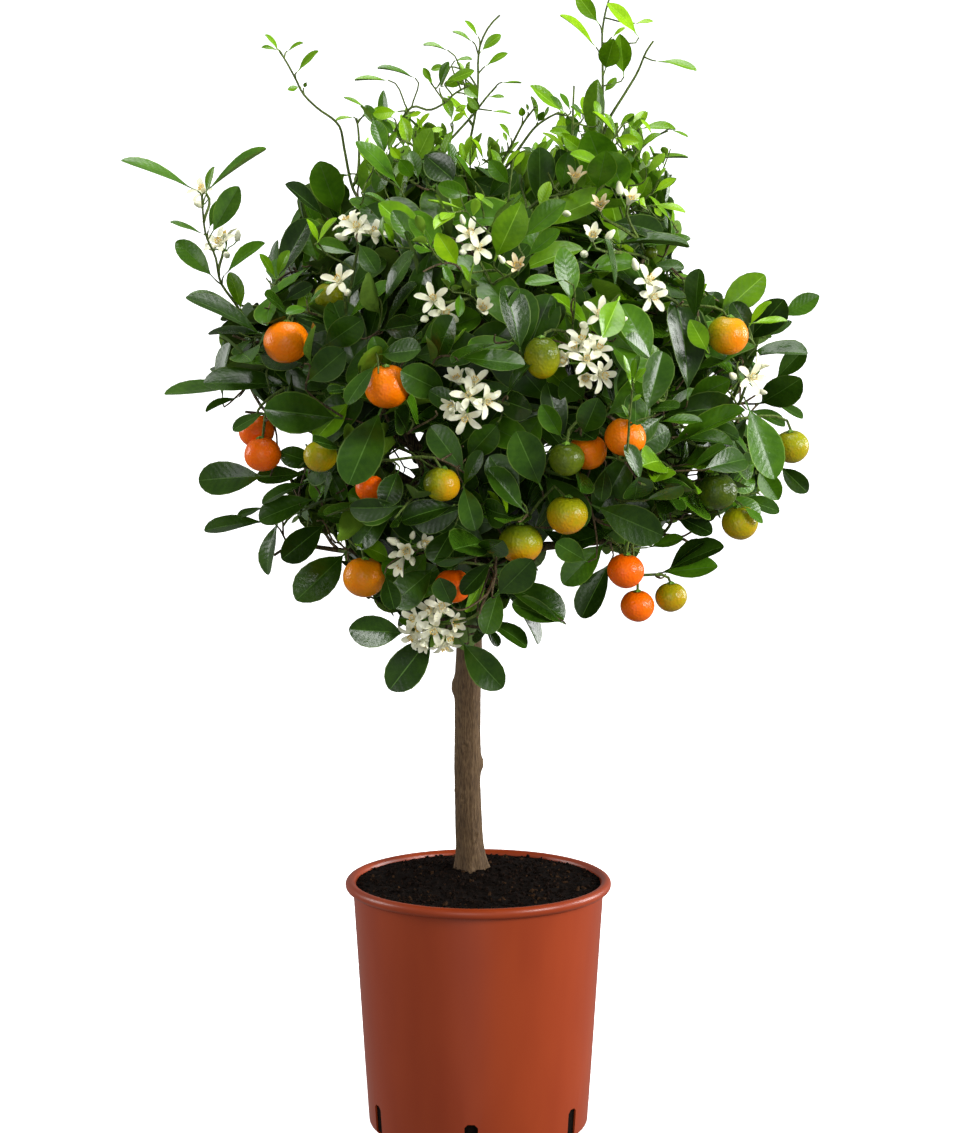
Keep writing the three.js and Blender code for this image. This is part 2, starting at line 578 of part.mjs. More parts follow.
function inOutline(place) {
  let inside = false;
  OUTLINE.forEach(([x1, z1], i) => {
    const [x2, z2] = OUTLINE[(i + 1) % OUTLINE.length];
    if ((z1 > place.y) === (z2 > place.y)) return;
    if (place.x < x1 + ((place.y - z1) / (z2 - z1)) * (x2 - x1)) inside = !inside;
  });
  return inside;
}

// Places on a blade, as [far, across] shares, that are tried against what it must not hide.
const BLADE_SAMPLES = [[0.1, 0], [0.3, -0.3], [0.3, 0.3], [0.3, 0], [0.5, -0.45], [0.5, 0],
  [0.5, 0.45], [0.75, -0.3], [0.75, 0], [0.75, 0.3], [1, 0]];

const { fruit: allFruit, blossom: allBlossom } = withBackOnes();

// Everything that leaves keep clear of, besides the limbs: its middle, reach, and how much of
// it stays in view from the front.
const things = [
  ...allFruit.map((entry) => ({
    kind: "fruit", at: vec(entry), reach: entry[3] / 2, open: entry[4], solid: fruitSolid(entry),
  })),
  ...allBlossom.map((entry, index) => flowerGroup(vec(entry), entry[3], index)),
];

// Flowers open away from the crown, a little towards the front and up, round one middle.
function flowerGroup(middle, count, index) {
  const facing = outward(middle).addScaledVector(UP, 0.25).normalize();
  const side = new THREE.Vector3().crossVectors(facing, UP).normalize();
  const stars = Array.from({ length: count }, (_, i) => {
    const turn = index + i * GOLDEN_TURN * 1.3;
    const lean = count === 1 ? 0 : FLOWER_LEAN;
    const out = side.clone().applyAxisAngle(facing, turn);
    const heading = facing.clone().addScaledVector(out, lean).normalize();
    const at = middle.clone().addScaledVector(out, lean * FLOWER_APART)
      .addScaledVector(facing, i - lean * FLOWER_SINK);
    return flowerSolid(at, heading, turn);
  });
  const solid = mainBody(wasm.Manifold.union(stars));
  const reach = FLOWER_RADIUS * (count > 1 ? CLUSTER_REACH : 1);
  const open = index < BLOSSOM.length ? BLOSSOM_OPEN : 0;
  return { kind: "blossom", at: middle, reach, open, solid, facing };
}

function hidesOrShuts(points) {
  const looks = points.map((point) => ({ place: seen(point), y: point.y }));
  if (looks.some(({ place }) => inSky(place))) return true;
  return things.some(({ at, reach, open }) => {
    if (!open) return false;
    const middle = seen(at);
    return looks.some(({ place, y }) => y < at.y && place.distanceTo(middle) < open * reach);
  });
}

function insideSpace(name, solid) {
  const places = solid.getMesh().vertProperties;
  for (let i = 0; i < places.length; i += 3) {
    const point = new THREE.Vector3(places[i], places[i + 1], places[i + 2]);
    if (depthInSpace(name, point) < CLEARANCE / 2) return false;
  }
  return true;
}

class Foliage {
  constructor(name, limbs, seed) {
    this.name = name;
    this.limbs = limbs;
    this.random = seeded(seed);
    this.twigs = []; // { curve, solid, length, leaves }
    this.leaves = []; // { solid, middle, place }
    this.nodes = []; // where further twigs may start: { place, heading, path }
    this.body = null;
    this.growStem();
  }

  around(amount) {
    return (this.random() - 0.5) * 2 * amount;
  }

  // Fuses a piece on, if that leaves one sound body without a sealed hollow.
  join(piece, tidy = TIDY_JOINT) {
    const joined = this.body.add(piece).simplify(SMALLEST_EDGE);
    if (joined.numTri() > this.body.numTri() + piece.numTri() + tidy) return false;
    if (joined.decompose().length !== 1 || hasPinch(joined)) return false;
    this.body = joined;
    return true;
  }

  addTwig(curve, rings, solid, leaves, path) {
    const length = curve.getLength();
    this.twigs.push({ curve, rings, solid, length, leaves });
    const pointy = ["all", "shoot", "young"].includes(leaves);
    const last = pointy ? 0.6 : 0.95; // past it a point is too thin
    const steps = Math.max(2, Math.round((last * length) / NODE_SPACING));
    for (let i = 1; i <= steps; i += 1) {
      const share = (i / steps) * last;
      this.nodes.push({ ...axisAt(curve, rings, share), path: path + share * length });
    }
  }

  // The stem goes on from the bough's tip to the heart of the mass.
  growStem() {
    const { tip, heading, to } = boughs[this.name];
    const heart = vec(MASSES[this.name].heart);
    const start = tip.clone().addScaledVector(heading, GAP);
    const end = heart.clone().addScaledVector(outward(heart), STEM_PAST_HEART);
    const curve = bend(start, heading, end, outward(heart));
    const solid = limb(curve, taper(to, STEM_TIP_RADIUS), BOUGH_SIDES, STEM_RINGS);
    this.body = solid;
    this.addTwig(curve, STEM_RINGS, solid, "none", 0);
  }

  // The way in from a node: near it, not back on itself, and not far from the stem's foot.
  bestNode(place) {
    const cost = ({ place: from, heading, path }) => {
      const way = place.clone().sub(from);
      const length = way.length();
      const back = 1 - heading.dot(way) / (length + 1e-6);
      return length * (1 + TURN_BACK_COST * back) + PATH_COST * path;
    };
    return [...this.nodes].sort((a, b) => cost(a) - cost(b)).slice(0, NODES_TRIED);
  }

  clearOfLimbs(solid) {
    return solid.minGap(this.limbs, CLEARANCE * 2) > CLEARANCE;
  }

  clearOfThings(curve, own) {
    for (let share = 0; share <= 1.001; share += 0.1) {
      const place = curve.getPoint(share);
      if (things.some((thing) => thing !== own
        && place.distanceTo(thing.at) < thing.reach + TWIG_RADIUS + CLEARANCE)) return false;
    }
    return true;
  }

  // A twig from the best free node to a place, arriving in a given heading.
  reachOut(place, arrive, own, leaves) {
    for (const node of this.bestNode(place)) {
      for (const bow of TWIG_BOWS) {
        const way = place.clone().sub(node.place).normalize();
        if (place.distanceTo(node.place) < SHORTEST_TWIG) continue;
        const leave = mix(way, node.heading, TWIG_KEEPS_ON).normalize();
        const [x, y, z] = [0, 1, 2].map(() => this.around(TWIG_SWING));
        const swing = new THREE.Vector3(x, y, z + bow);
        const start = node.place.clone().addScaledVector(leave, TWIG_ROOT);
        const curve = bend(start, leave, place, arrive);
        curve.v1.add(swing);
        curve.v2.add(swing);
        if (!this.clearOfThings(curve, own)) continue;
        const radius = own ? taper(TWIG_RADIUS, TWIG_TIP_RADIUS) : pointed(TWIG_RADIUS);
        const solid = limb(curve, radius, 3, TWIG_RINGS);
        if (!insideSpace(this.name, solid) || !this.clearOfLimbs(solid)) continue;
        if (!this.join(own ? solid.add(own.solid) : solid, TWIG_JOINT)) continue;
        this.addTwig(curve, TWIG_RINGS, solid, leaves, node.path);
        return true;
      }
    }
    return false;
  }

  growShoot({ path, leaves, size = SHOOT_LEAF, width = SHOOT_LEAF_WIDTH }) {
    const points = path.map(vec);
    for (const node of this.bestNode(points[0])) {
      const curve = new THREE.CatmullRomCurve3([node.place, ...points]);
      const rings = points.length + 1;
      const solid = limb(curve, pointed(TWIG_RADIUS), 3, rings);
      if (!insideSpace(this.name, solid) || !this.clearOfLimbs(solid)) continue;
      if (!this.join(solid, SHOOT_JOINT)) continue;
      this.addTwig(curve, rings, solid, "shoot", node.path);
      const twig = Object.assign(this.twigs.at(-1), { size, width });
      for (const [across, up] of leaves) {
        const end = points.at(-1).clone().add(new THREE.Vector3(across, this.around(8), up));
        for (const share of [LAST_LEAF, LAST_LEAF - 0.05, LAST_LEAF - 0.1]) {
          const { place } = axisAt(curve, rings, share);
          const way = end.clone().sub(place);
          const length = way.length();
          if (this.tryLeaf(place, way.normalize(), length, width, twig, SHOOT_LEAF_JOINT)) break;
        }
      }
      return true;
    }
    return false;
  }

  tryLeaf(place, along, length, width, twig, tidy = TIDY_JOINT) {
    const root = place.clone().addScaledVector(along, -LEAF_SUNK);
    const uneven = [0, 1, 2].map(() => this.around(LEAF_UNEVEN));
    const facing = outward(place).addScaledVector(UP, LEAF_LIGHT).add(vec(uneven));
    const { solid, side } = leafSolid(root, along, facing, length, width * length);
    const samples = BLADE_SAMPLES.map(([far, across]) => root.clone()
      .addScaledVector(along, far * length).addScaledVector(side, across * width * length));
    const tip = root.clone().addScaledVector(along, length);
    if (twig.leaves !== "shoot" && !inOutline(seen(tip))) return false;
    if (twig.leaves !== "shoot" && twig.leaves !== "young" && crownShare(tip) > CROWN_REACH) return false;
    if (!insideSpace(this.name, solid) || hidesOrShuts(samples)) return false;
    if (!this.clearOfLimbs(solid)) return false;
    const middle = root.clone().addScaledVector(along, length / 2);
    const blocked = things.some((thing) => middle.distanceTo(thing.at) < thing.reach + length / 2 + 2
      && solid.minGap(thing.solid, CLEARANCE * 2) < CLEARANCE);
    if (blocked) return false;
    if (this.twigs.some((other) => other !== twig && solid.minGap(other.solid, 1) < CLEARANCE
      && !nearEnds(other, place))) return false;
    const crosses = this.leaves.some((other) => other.middle.distanceTo(middle) < length + 5
      && other.place.distanceTo(place) > 5 && solid.minGap(other.solid, 1) < CLEARANCE);
    if (crosses || !this.join(solid, tidy)) return false;
    this.leaves.push({ solid, middle, place });
    return true;
  }

  // Leaves stand alternately round a twig's outer part, and one ends it.
  growLeaves(twig) {
    if (twig.leaves === "none") return;
    const small = twig.leaves === "shoot" || twig.leaves === "young";
    const { size = small ? SHOOT_LEAF : LEAF_LENGTH } = twig;
    const { width = small ? SHOOT_LEAF_WIDTH : LEAF_WIDTH } = twig;
    const spacing = small ? SHOOT_LEAF_SPACING : LEAF_SPACING;
    const last = twig.leaves === "inner" ? 0.6 : 1;
    const count = Math.floor((twig.length * (last - LEAF_BARE)) / spacing);
    let turn = this.random() * 6.28;
    for (let i = 0; i <= count; i += 1) {
      const share = last - (i / (count + 1)) * (last - LEAF_BARE);
      const { place, heading } = axisAt(twig.curve, twig.rings, Math.min(share, LAST_LEAF));
      const out = outward(place);
      const { low, high, from, to } = LEAF_LIFT;
      const lift = THREE.MathUtils.mapLinear(place.z, low, high, from, to);
      const side = new THREE.Vector3().crossVectors(heading, UP).normalize();
      const ending = i === 0 && last === 1;
      const length = size * THREE.MathUtils.lerp(...LEAF_SIZES, this.random()) * (ending ? 0.9 : 1);
      const axil = ending ? LAST_LEAF_AXIL : LEAF_AXIL;
      turn += GOLDEN_TURN;
      for (const nudge of LEAF_TURNS) {
        const along = side.clone().applyAxisAngle(heading, turn + nudge)
          .multiplyScalar(Math.sin(axil)).addScaledVector(heading, Math.cos(axil))
          .addScaledVector(out, LEAF_OUTWARD).addScaledVector(UP, lift).normalize();
        if (this.tryLeaf(place, along, length, width, twig)) break;
      }
    }
  }
}

const nearEnds = (twig, place) => twig.curve.getPoint(0).distanceTo(place) < 6;

// Where the leafy twigs are to end, the inner ones first.
function twigEnds() {
  const random = seeded(11);
  const layer = (count, depth) => spread(count)
    .map((unit) => drawIn(onCrown(unit, depth * (0.95 + 0.1 * random()))));
  return [...layer(INNER_TWIGS, INNER_DEPTH), ...layer(SHELL_TWIGS, SHELL_DEPTH)];
}

function drawIn(place) {
  const tries = DRAWN_IN.map((share) => mix(CROWN_CENTRE, place, share));
  return tries.find((point) => inOutline(seen(point))) ?? tries.at(-1);
}

// Young shoots rise at the top of the crown.
function youngEnds() {
  const random = seeded(13);
  return spread(YOUNG_TWIGS).filter((unit) => unit.z > YOUNG_LOW)
    .map((unit) => onCrown(unit, YOUNG_DEPTH[0] + (YOUNG_DEPTH[1] - YOUNG_DEPTH[0]) * random()))
    .filter((place) => inOutline(seen(place)));
}

function growCrown(limbs) {
  const masses = Object.keys(MASSES).map((name, index) => new Foliage(name, limbs, 101 + index));
  const massAt = (place) => masses.find((mass) => mass.name === spaceOf(place));
  for (const place of twigEnds()) {
    massAt(place).reachOut(place, mix(outward(place), UP, 0.15).normalize(), null, "all");
  }
  for (const shoot of SHOOTS) massAt(vec(shoot.path[0])).growShoot(shoot);
  for (const place of youngEnds()) {
    massAt(place).reachOut(place, mix(UP, outward(place), 0.3).normalize(), null, "young");
  }
  for (const thing of things) {
    const hanging = thing.kind === "fruit";
    const arrive = hanging ? UP.clone().negate() : thing.facing;
    const place = thing.at.clone();
    if (hanging) place.add(vec([...STALK_SEAT, thing.reach * STALK_HEIGHT]));
    massAt(place).reachOut(place, arrive, thing, hanging ? "none" : "inner");
  }
  for (const mass of masses) for (const twig of mass.twigs) mass.growLeaves(twig);
  return masses;
}

// ---------------------------------------------------------------- the tree

const tree = new THREE.Group();
const limbs = limbSolids();
tree.add(meshOf("pot", potSolid(), COLOURS.terracotta, 0.45));
tree.add(meshOf("soil", soilSolid(), COLOURS.peat, 1));
for (const [name, solid] of Object.entries(limbs)) tree.add(meshOf(name, solid, COLOURS.bark, 0.85));
for (const mass of growCrown(wasm.Manifold.union(Object.values(limbs)))) {
  tree.add(meshOf(`foliage_${mass.name}`, mass.body, COLOURS.foliage, 0.6));
}

export default tree;
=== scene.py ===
# %% [markdown]
# # A calamondin orange tree in its pot
# The object is a small citrus tree, grown as a standard: one clear stem, a round head of
# glossy leaves, and fruit and blossom at the same time. It stands in a plastic nursery pot.
# The construction model gives the frame that everything stands in, so it is loaded first
# and never moved.
# The plant is worked out in millimetres and made in metres.

# %% Load the frame
import json
import math

import bmesh
import bpy
import numpy as np
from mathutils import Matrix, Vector, noise

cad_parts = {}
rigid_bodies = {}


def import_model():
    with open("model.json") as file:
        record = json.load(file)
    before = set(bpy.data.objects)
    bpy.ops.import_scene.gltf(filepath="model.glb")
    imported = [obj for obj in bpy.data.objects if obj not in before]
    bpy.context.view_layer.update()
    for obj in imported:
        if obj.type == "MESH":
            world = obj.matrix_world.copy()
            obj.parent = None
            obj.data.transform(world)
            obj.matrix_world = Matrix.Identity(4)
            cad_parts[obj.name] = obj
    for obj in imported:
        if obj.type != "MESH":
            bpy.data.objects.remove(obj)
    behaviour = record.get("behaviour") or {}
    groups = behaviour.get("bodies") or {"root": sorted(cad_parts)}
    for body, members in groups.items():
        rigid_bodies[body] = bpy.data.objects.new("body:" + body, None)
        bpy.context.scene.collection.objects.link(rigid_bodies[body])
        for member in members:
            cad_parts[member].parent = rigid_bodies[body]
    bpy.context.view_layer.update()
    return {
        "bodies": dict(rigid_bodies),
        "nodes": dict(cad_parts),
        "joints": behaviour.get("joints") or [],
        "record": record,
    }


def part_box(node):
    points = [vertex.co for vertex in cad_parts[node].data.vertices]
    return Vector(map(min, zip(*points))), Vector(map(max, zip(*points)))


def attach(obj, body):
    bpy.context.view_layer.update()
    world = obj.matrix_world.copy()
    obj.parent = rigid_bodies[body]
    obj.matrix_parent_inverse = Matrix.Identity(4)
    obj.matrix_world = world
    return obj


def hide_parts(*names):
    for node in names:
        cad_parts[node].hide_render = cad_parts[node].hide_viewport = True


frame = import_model()
MM = 0.001

# %% [markdown]
# ## The eye
# A product picture is taken from far away with a long lens, so that a round pot stays
# round. The camera stands 2.6 m in front of the stem, a little above the middle of the
# crown, and looks 7.5 degrees down. It comes first, because what may hide a fruit, and
# where sky shows through the crown, are told as seen from it.

# %% Camera
EYE = np.array([6.0, -2600.0, 850.0])
LOOKS_DOWN = 7.5  # degrees
LENS = 94.1  # mm, on a sensor 36 mm long

bpy.ops.object.camera_add(location=EYE * MM, rotation=(math.radians(90 - LOOKS_DOWN), 0, 0))
camera = bpy.context.object
camera.data.lens = LENS
bpy.context.scene.camera = camera

# %% [markdown]
# ## Hands for the work
# Most pieces here are made as by hand: a primitive is added, parts of it are picked, and
# edit-mode tools shape it. An operator acts on all that is selected, so every piece starts
# by deselecting everything, and `pick` then selects corners, edges or faces by their place.

# %% Helpers for modelling
def clear_selection():
    if bpy.context.object and bpy.context.object.mode != "OBJECT":
        bpy.ops.object.mode_set(mode="OBJECT")
    bpy.ops.object.select_all(action="DESELECT")


def start_edit(piece):
    clear_selection()
    bpy.context.view_layer.objects.active = piece
    piece.select_set(True)
    bpy.ops.object.mode_set(mode="EDIT")


def end_edit(inside=False):
    """Turns all faces outwards, or inwards, and leaves edit mode."""
    bpy.ops.mesh.select_all(action="SELECT")
    bpy.ops.mesh.normals_make_consistent(inside=inside)
    bpy.ops.object.mode_set(mode="OBJECT")


def pick(piece, test, kind="VERT"):
    """Selects the corners, edges or faces whose middle, in millimetres, passes a test."""
    bpy.ops.mesh.select_mode(type=kind)
    bpy.ops.mesh.select_all(action="DESELECT")
    mesh = bmesh.from_edit_mesh(piece.data)
    elements = {"VERT": mesh.verts, "EDGE": mesh.edges, "FACE": mesh.faces}[kind]
    for element in elements:
        corners = [element.co] if kind == "VERT" else [corner.co for corner in element.verts]
        middle = sum(corners, Vector()) / len(corners) / MM
        element.select_set(bool(test(middle)))
    mesh.select_flush_mode()
    bmesh.update_edit_mesh(piece.data)


def grow_rings(rings, centre=(0, 0)):
    """Extrudes the selected ring of edges on through further ones of given radius and height."""
    (radius, height), *others = rings
    for next_radius, next_height in others:
        bpy.ops.mesh.extrude_edges_move(
            TRANSFORM_OT_translate={"value": (0, 0, (next_height - height) * MM)})
        share = next_radius / radius
        bpy.ops.transform.resize(value=(share, share, 1),
                                 center_override=(centre[0] * MM, centre[1] * MM, next_height * MM))
        radius, height = next_radius, next_height


def apply_modifier(piece, kind, **settings):
    modifier = piece.modifiers.new(kind.title(), kind)
    for name, value in settings.items():
        setattr(modifier, name, value)
    bpy.context.view_layer.objects.active = piece
    bpy.ops.object.modifier_apply(modifier=modifier.name)


def join(pieces):
    """Joins pieces into the first of them."""
    clear_selection()
    for piece in pieces:
        piece.select_set(True)
    bpy.context.view_layer.objects.active = pieces[0]
    bpy.ops.object.join()
    return pieces[0]


def hand_over(piece, name, nodes, materials=(), smooth=30):
    """Names a finished piece and fixes it to the frame, in place of the CAD nodes it stands for."""
    if materials:
        piece.data.materials.clear()
    for material in materials:
        piece.data.materials.append(material)
    clear_selection()
    bpy.context.view_layer.objects.active = piece
    piece.select_set(True)
    bpy.ops.object.transform_apply()
    bpy.ops.object.shade_smooth_by_angle(angle=math.radians(smooth))
    piece.name = piece.data.name = name
    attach(piece, "root")
    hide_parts(*nodes)
    triangles = sum(len(face.vertices) - 2 for face in piece.data.polygons)
    print(f"{name}: {len(piece.data.polygons)} faces, {triangles} triangles")


# %% [markdown]
# ## Colours and nodes
# Colours are picked as hex values, as a screen shows them, and the shader wants linear
# light, so one function turns them. One more function adds a node, sets its values and
# links its inputs, whatever its kind. Most finishes end alike: one pattern picks a colour
# from a ramp, and another stands out a little.

# %% Helpers for materials
def linear(hex_colour):
    parts = [int(hex_colour[i:i + 2], 16) / 255 for i in (1, 3, 5)]
    return (*(p / 12.92 if p <= 0.04045 else ((p + 0.055) / 1.055) ** 2.4 for p in parts), 1.0)


def add_node(tree, kind, inputs=None, stops=(), **settings):
    """Adds a node with its settings, its values and links, and the stops of a colour ramp."""
    made = tree.nodes.new("ShaderNode" + kind)
    for name, value in settings.items():
        setattr(made, name, value)
    for name, value in (inputs or {}).items():
        if isinstance(value, bpy.types.NodeSocket):
            tree.links.new(value, made.inputs[name])
        else:
            made.inputs[name].default_value = value
    for i, (place, colour) in enumerate(stops):
        elements = made.color_ramp.elements
        element = elements[i] if i < len(elements) else elements.new(place)
        element.position = place
        element.color = linear(colour)
    return made


def new_material(name, inputs):
    """A material, its tree and shader with uniform values, and the place that patterns read."""
    material = bpy.data.materials.new(name)
    material.use_nodes = True
    tree = material.node_tree
    shader = tree.nodes["Principled BSDF"]
    for socket, value in inputs.items():
        shader.inputs[socket].default_value = value
    return material, tree, shader, add_node(tree, "TexCoord").outputs["Object"]


def finish_skin(tree, shader, pattern, stops, relief=None, strength=0.0, depth=0.0):
    """Colours the skin by one pattern, and lets another stand out of it, this deep in mm."""
    colour = add_node(tree, "ValToRGB", {"Fac": pattern}, stops)
    tree.links.new(colour.outputs["Color"], shader.inputs["Base Color"])
    if relief:
        bump = add_node(tree, "Bump", {"Height": relief, "Strength": strength,
                                       "Distance": depth * MM})
        tree.links.new(bump.outputs["Normal"], shader.inputs["Normal"])


def per_metre(size_mm):
    """The scale of a pattern whose features are this large."""
    return 1 / (size_mm * MM)


# %% [markdown]
# ## Pot
# The pot is injection-moulded polypropylene in a terracotta colour: a thin wall that leans
# out, a rolled lip, a rounded foot, and six drain slots with cut corners, each with a fine
# moulding crease beside it. It could be spun from a drawn profile. Here a disc is extruded
# ring by ring, as a potter pulls a wall, because every ring then has a radius and a height
# that can be read. The slots are cut with a boolean, which leaves clean dark openings.

# %% Pot: sizes
_, pot_high = (np.array(corner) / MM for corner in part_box("pot"))
POT_HEIGHT = pot_high[2]
LIP_RADIUS = pot_high[0]
LIP_ROUND = 4.75  # radius of the rolled lip's section
LIP_LOW = POT_HEIGHT - 2 * LIP_ROUND
WALL_TOP_RADIUS = 112.3
WALL_FOOT_RADIUS = 98.9
WALL, FLOOR = 2.0, 3.0
FOOT_ROUND = 5.0
POT_SIDES = 96
LIP_ARC, FOOT_ARC = (-85, 180, 12), (-72, 0, 4)  # degrees from and to, and steps
NECK_OUT, NECK_HIGH = 0.5, 0.6  # the small step out under the lip
WALL_HEIGHTS = (60, 120, 180)
INSIDE_HEIGHTS = (120, 30)
INNER_RING = 30  # radius of the last ring, on the pot's floor
print("pot", round(POT_HEIGHT, 1), "high,", round(LIP_RADIUS * 2, 1), "across")


def wall_radius(height):
    """Outside of the wall at a height."""
    return WALL_FOOT_RADIUS + (WALL_TOP_RADIUS - WALL_FOOT_RADIUS) * height / LIP_LOW


def arc(across, up, radius, start, end, steps):
    """Points of an arc of the profile, its angles in degrees from straight out."""
    angles = [math.radians(start + (end - start) * i / steps) for i in range(steps + 1)]
    return [(across + radius * math.cos(a), up + radius * math.sin(a)) for a in angles]


# %% Pot: body
def make_pot():
    """From the middle of the underside out, up the wall, over the lip and down inside."""
    clear_selection()
    foot = WALL_FOOT_RADIUS - FOOT_ROUND
    bpy.ops.mesh.primitive_circle_add(vertices=POT_SIDES, radius=foot * MM, fill_type="NGON")
    pot = bpy.context.object
    start_edit(pot)
    pick(pot, lambda at: True, "EDGE")
    lip = arc(LIP_RADIUS - LIP_ROUND, LIP_LOW + LIP_ROUND, LIP_ROUND, *LIP_ARC)
    inside = lip[-1][0]
    grow_rings([(foot, 0), *arc(foot, FOOT_ROUND, FOOT_ROUND, *FOOT_ARC),
                *((wall_radius(h), h) for h in WALL_HEIGHTS),
                (WALL_TOP_RADIUS, LIP_LOW - NECK_HIGH), (WALL_TOP_RADIUS + NECK_OUT, LIP_LOW), *lip,
                (inside - 0.3, LIP_LOW - WALL),
                *((wall_radius(h) - WALL, h) for h in (*INSIDE_HEIGHTS, FLOOR)),
                (INNER_RING, FLOOR)])
    bpy.ops.mesh.edge_face_add()
    end_edit()
    return pot


pot = make_pot()

# %% Pot: drain slots and creases
SLOTS = 6
SLOT_TURN = -93.5  # degrees: the first one is almost at the front
SLOT_WIDTH = 12.0
SLOT_LOW, SLOT_HIGH = 2.0, 29.0
SLOT_CHAMFER = 3.0
CREASE_TOP = 38.0
CREASE_WIDE, CREASE_DEEP = 0.8, 0.6
CREASE_BESIDE = 3.0  # mm from the slot's edge
CUTTER_THICK, CUTTER_OUT, CUTTER_BELOW = 24, 4, 4  # through the wall, and below the pot


def add_box(size, middle):
    clear_selection()
    bpy.ops.mesh.primitive_cube_add(size=1, location=[m * MM for m in middle])
    box = bpy.context.object
    box.scale = [s * MM for s in size]
    bpy.ops.object.transform_apply()
    return box


def make_slot_cutter():
    slot = add_box((SLOT_WIDTH, CUTTER_THICK, SLOT_HIGH - SLOT_LOW),
                   (0, WALL_FOOT_RADIUS + CUTTER_OUT, (SLOT_HIGH + SLOT_LOW) / 2))
    start_edit(slot)
    pick(slot, lambda at: abs(at.x) > SLOT_WIDTH / 2 - 0.1 and at.z > SLOT_HIGH - 0.1, "EDGE")
    bpy.ops.mesh.bevel(offset=SLOT_CHAMFER * MM, segments=1)
    return slot


def make_crease_cutter():
    """A thin box on the wall, its upper end moved out so that it leans with the wall."""
    crease = add_box((CREASE_WIDE, 2 * CREASE_DEEP, CREASE_TOP + CUTTER_BELOW),
                     (-SLOT_WIDTH / 2 - CREASE_BESIDE, wall_radius(0),
                      (CREASE_TOP - CUTTER_BELOW) / 2))
    start_edit(crease)
    pick(crease, lambda at: at.z > CREASE_TOP / 2)
    bpy.ops.transform.translate(value=(0, (wall_radius(CREASE_TOP) - wall_radius(0)) * MM, 0))
    return crease


def cut_slots(pot):
    """Both cutters are made at the back, at 90 degrees, and turned to each slot's place."""
    for i in range(SLOTS):
        for make_cutter in (make_slot_cutter, make_crease_cutter):
            cutter = make_cutter()
            clear_selection()
            cutter.rotation_euler.z = math.radians(SLOT_TURN - 90 + 360 / SLOTS * i)
            pot.select_set(True)
            apply_modifier(pot, "BOOLEAN", operation="DIFFERENCE", solver="EXACT", object=cutter)
            bpy.data.objects.remove(cutter)


cut_slots(pot)

# %% [markdown]
# Moulded polypropylene has a satin skin: smooth enough for a soft streak of light on the
# lip, with a faint unevenness where the melt has flowed up the wall. Its colour is even.


# %% Pot: finish
def terracotta_polypropylene():
    material, tree, shader, place = new_material("terracotta_polypropylene", {
        "Roughness": 0.36, "Specular IOR Level": 0.36})
    flow = add_node(tree, "Mapping", {"Vector": place, "Scale": (1, 1, 0.25)}).outputs["Vector"]
    cloud = add_node(tree, "TexNoise", {"Vector": flow, "Scale": per_metre(40), "Detail": 2})
    skin = add_node(tree, "TexNoise", {"Vector": place, "Scale": per_metre(0.9), "Detail": 3})
    finish_skin(tree, shader, cloud.outputs["Fac"], [(0.3, "#89310f"), (0.7, "#933813")],
                skin.outputs["Fac"], strength=0.08, depth=0.2)
    return material


hand_over(pot, "pot_moulded", ["pot"], [terracotta_polypropylene()])

# %% [markdown]
# ## Soil
# Potting soil is dark peat: soft heaps and hollows, and crumbs of 1 to 5 mm lying on them.
# The surface is a disc inset again and again into rings, so that it has corners to lift,
# and the crumbs are one rough lump, modelled once and laid down a few thousand times.

# %% Soil: surface
TRUNK_FOOT = (-5.5, 30.0)
SOIL_EDGE, SOIL_TOP = 219.0, 226.0
SOIL_GAP = 0.3  # between the soil and the pot's wall and floor
SOIL_RADIUS = wall_radius(SOIL_EDGE) - WALL - SOIL_GAP
SOIL_RINGS = 44
SOIL_LIFT = 2.6
MOUND_WIDE, EDGE_WIDE = 55, 30  # the soil is flatter this near to the wall
HEAPS = ((34, 1.8), (13, 1.5), (5, 1.1), (2.4, 0.6))  # how wide and how high, mm
HEAPS_AT_EDGE = 0.35


def soil_height(x, y):
    """A low mound round the stem, with heaps and crumbs of several sizes."""
    away = math.hypot(x - TRUNK_FOOT[0], y - TRUNK_FOOT[1])
    edge = min(1.0, max(0.0, (SOIL_RADIUS - math.hypot(x, y)) / EDGE_WIDE))
    mound = (SOIL_TOP - SOIL_EDGE) * math.exp(-((away / MOUND_WIDE) ** 2)) * edge
    heaps = sum(size * noise.noise(Vector((x / wide, y / wide, wide))) for wide, size in HEAPS)
    return SOIL_EDGE + mound + heaps * (HEAPS_AT_EDGE + (1 - HEAPS_AT_EDGE) * edge) + SOIL_LIFT


def make_soil():
    clear_selection()
    bpy.ops.mesh.primitive_circle_add(vertices=POT_SIDES, radius=SOIL_RADIUS * MM,
                                      fill_type="NGON", location=(0, 0, SOIL_EDGE * MM))
    soil = bpy.context.object
    start_edit(soil)
    bpy.ops.mesh.select_mode(type="FACE")
    bpy.ops.mesh.select_all(action="SELECT")
    for _ in range(SOIL_RINGS):
        bpy.ops.mesh.inset(thickness=SOIL_RADIUS / (SOIL_RINGS + 1) * MM)
    bpy.ops.mesh.poke()
    bpy.ops.mesh.select_all(action="SELECT")
    bpy.ops.mesh.subdivide(number_cuts=1)
    # The sides go down inside the wall to the floor, so that the plug of soil is closed.
    pick(soil, lambda at: math.hypot(at.x, at.y) > SOIL_RADIUS - 0.4, "EDGE")
    grow_rings([(SOIL_RADIUS, SOIL_EDGE),
                *((wall_radius(h) - WALL - SOIL_GAP, h) for h in (120, FLOOR + SOIL_GAP))])
    bpy.ops.mesh.edge_face_add()
    end_edit()
    bpy.ops.object.transform_apply()
    for corner in soil.data.vertices:
        x, y, z = corner.co / MM
        if z > SOIL_EDGE - 1:
            corner.co.z = soil_height(x, y) * MM
    return soil


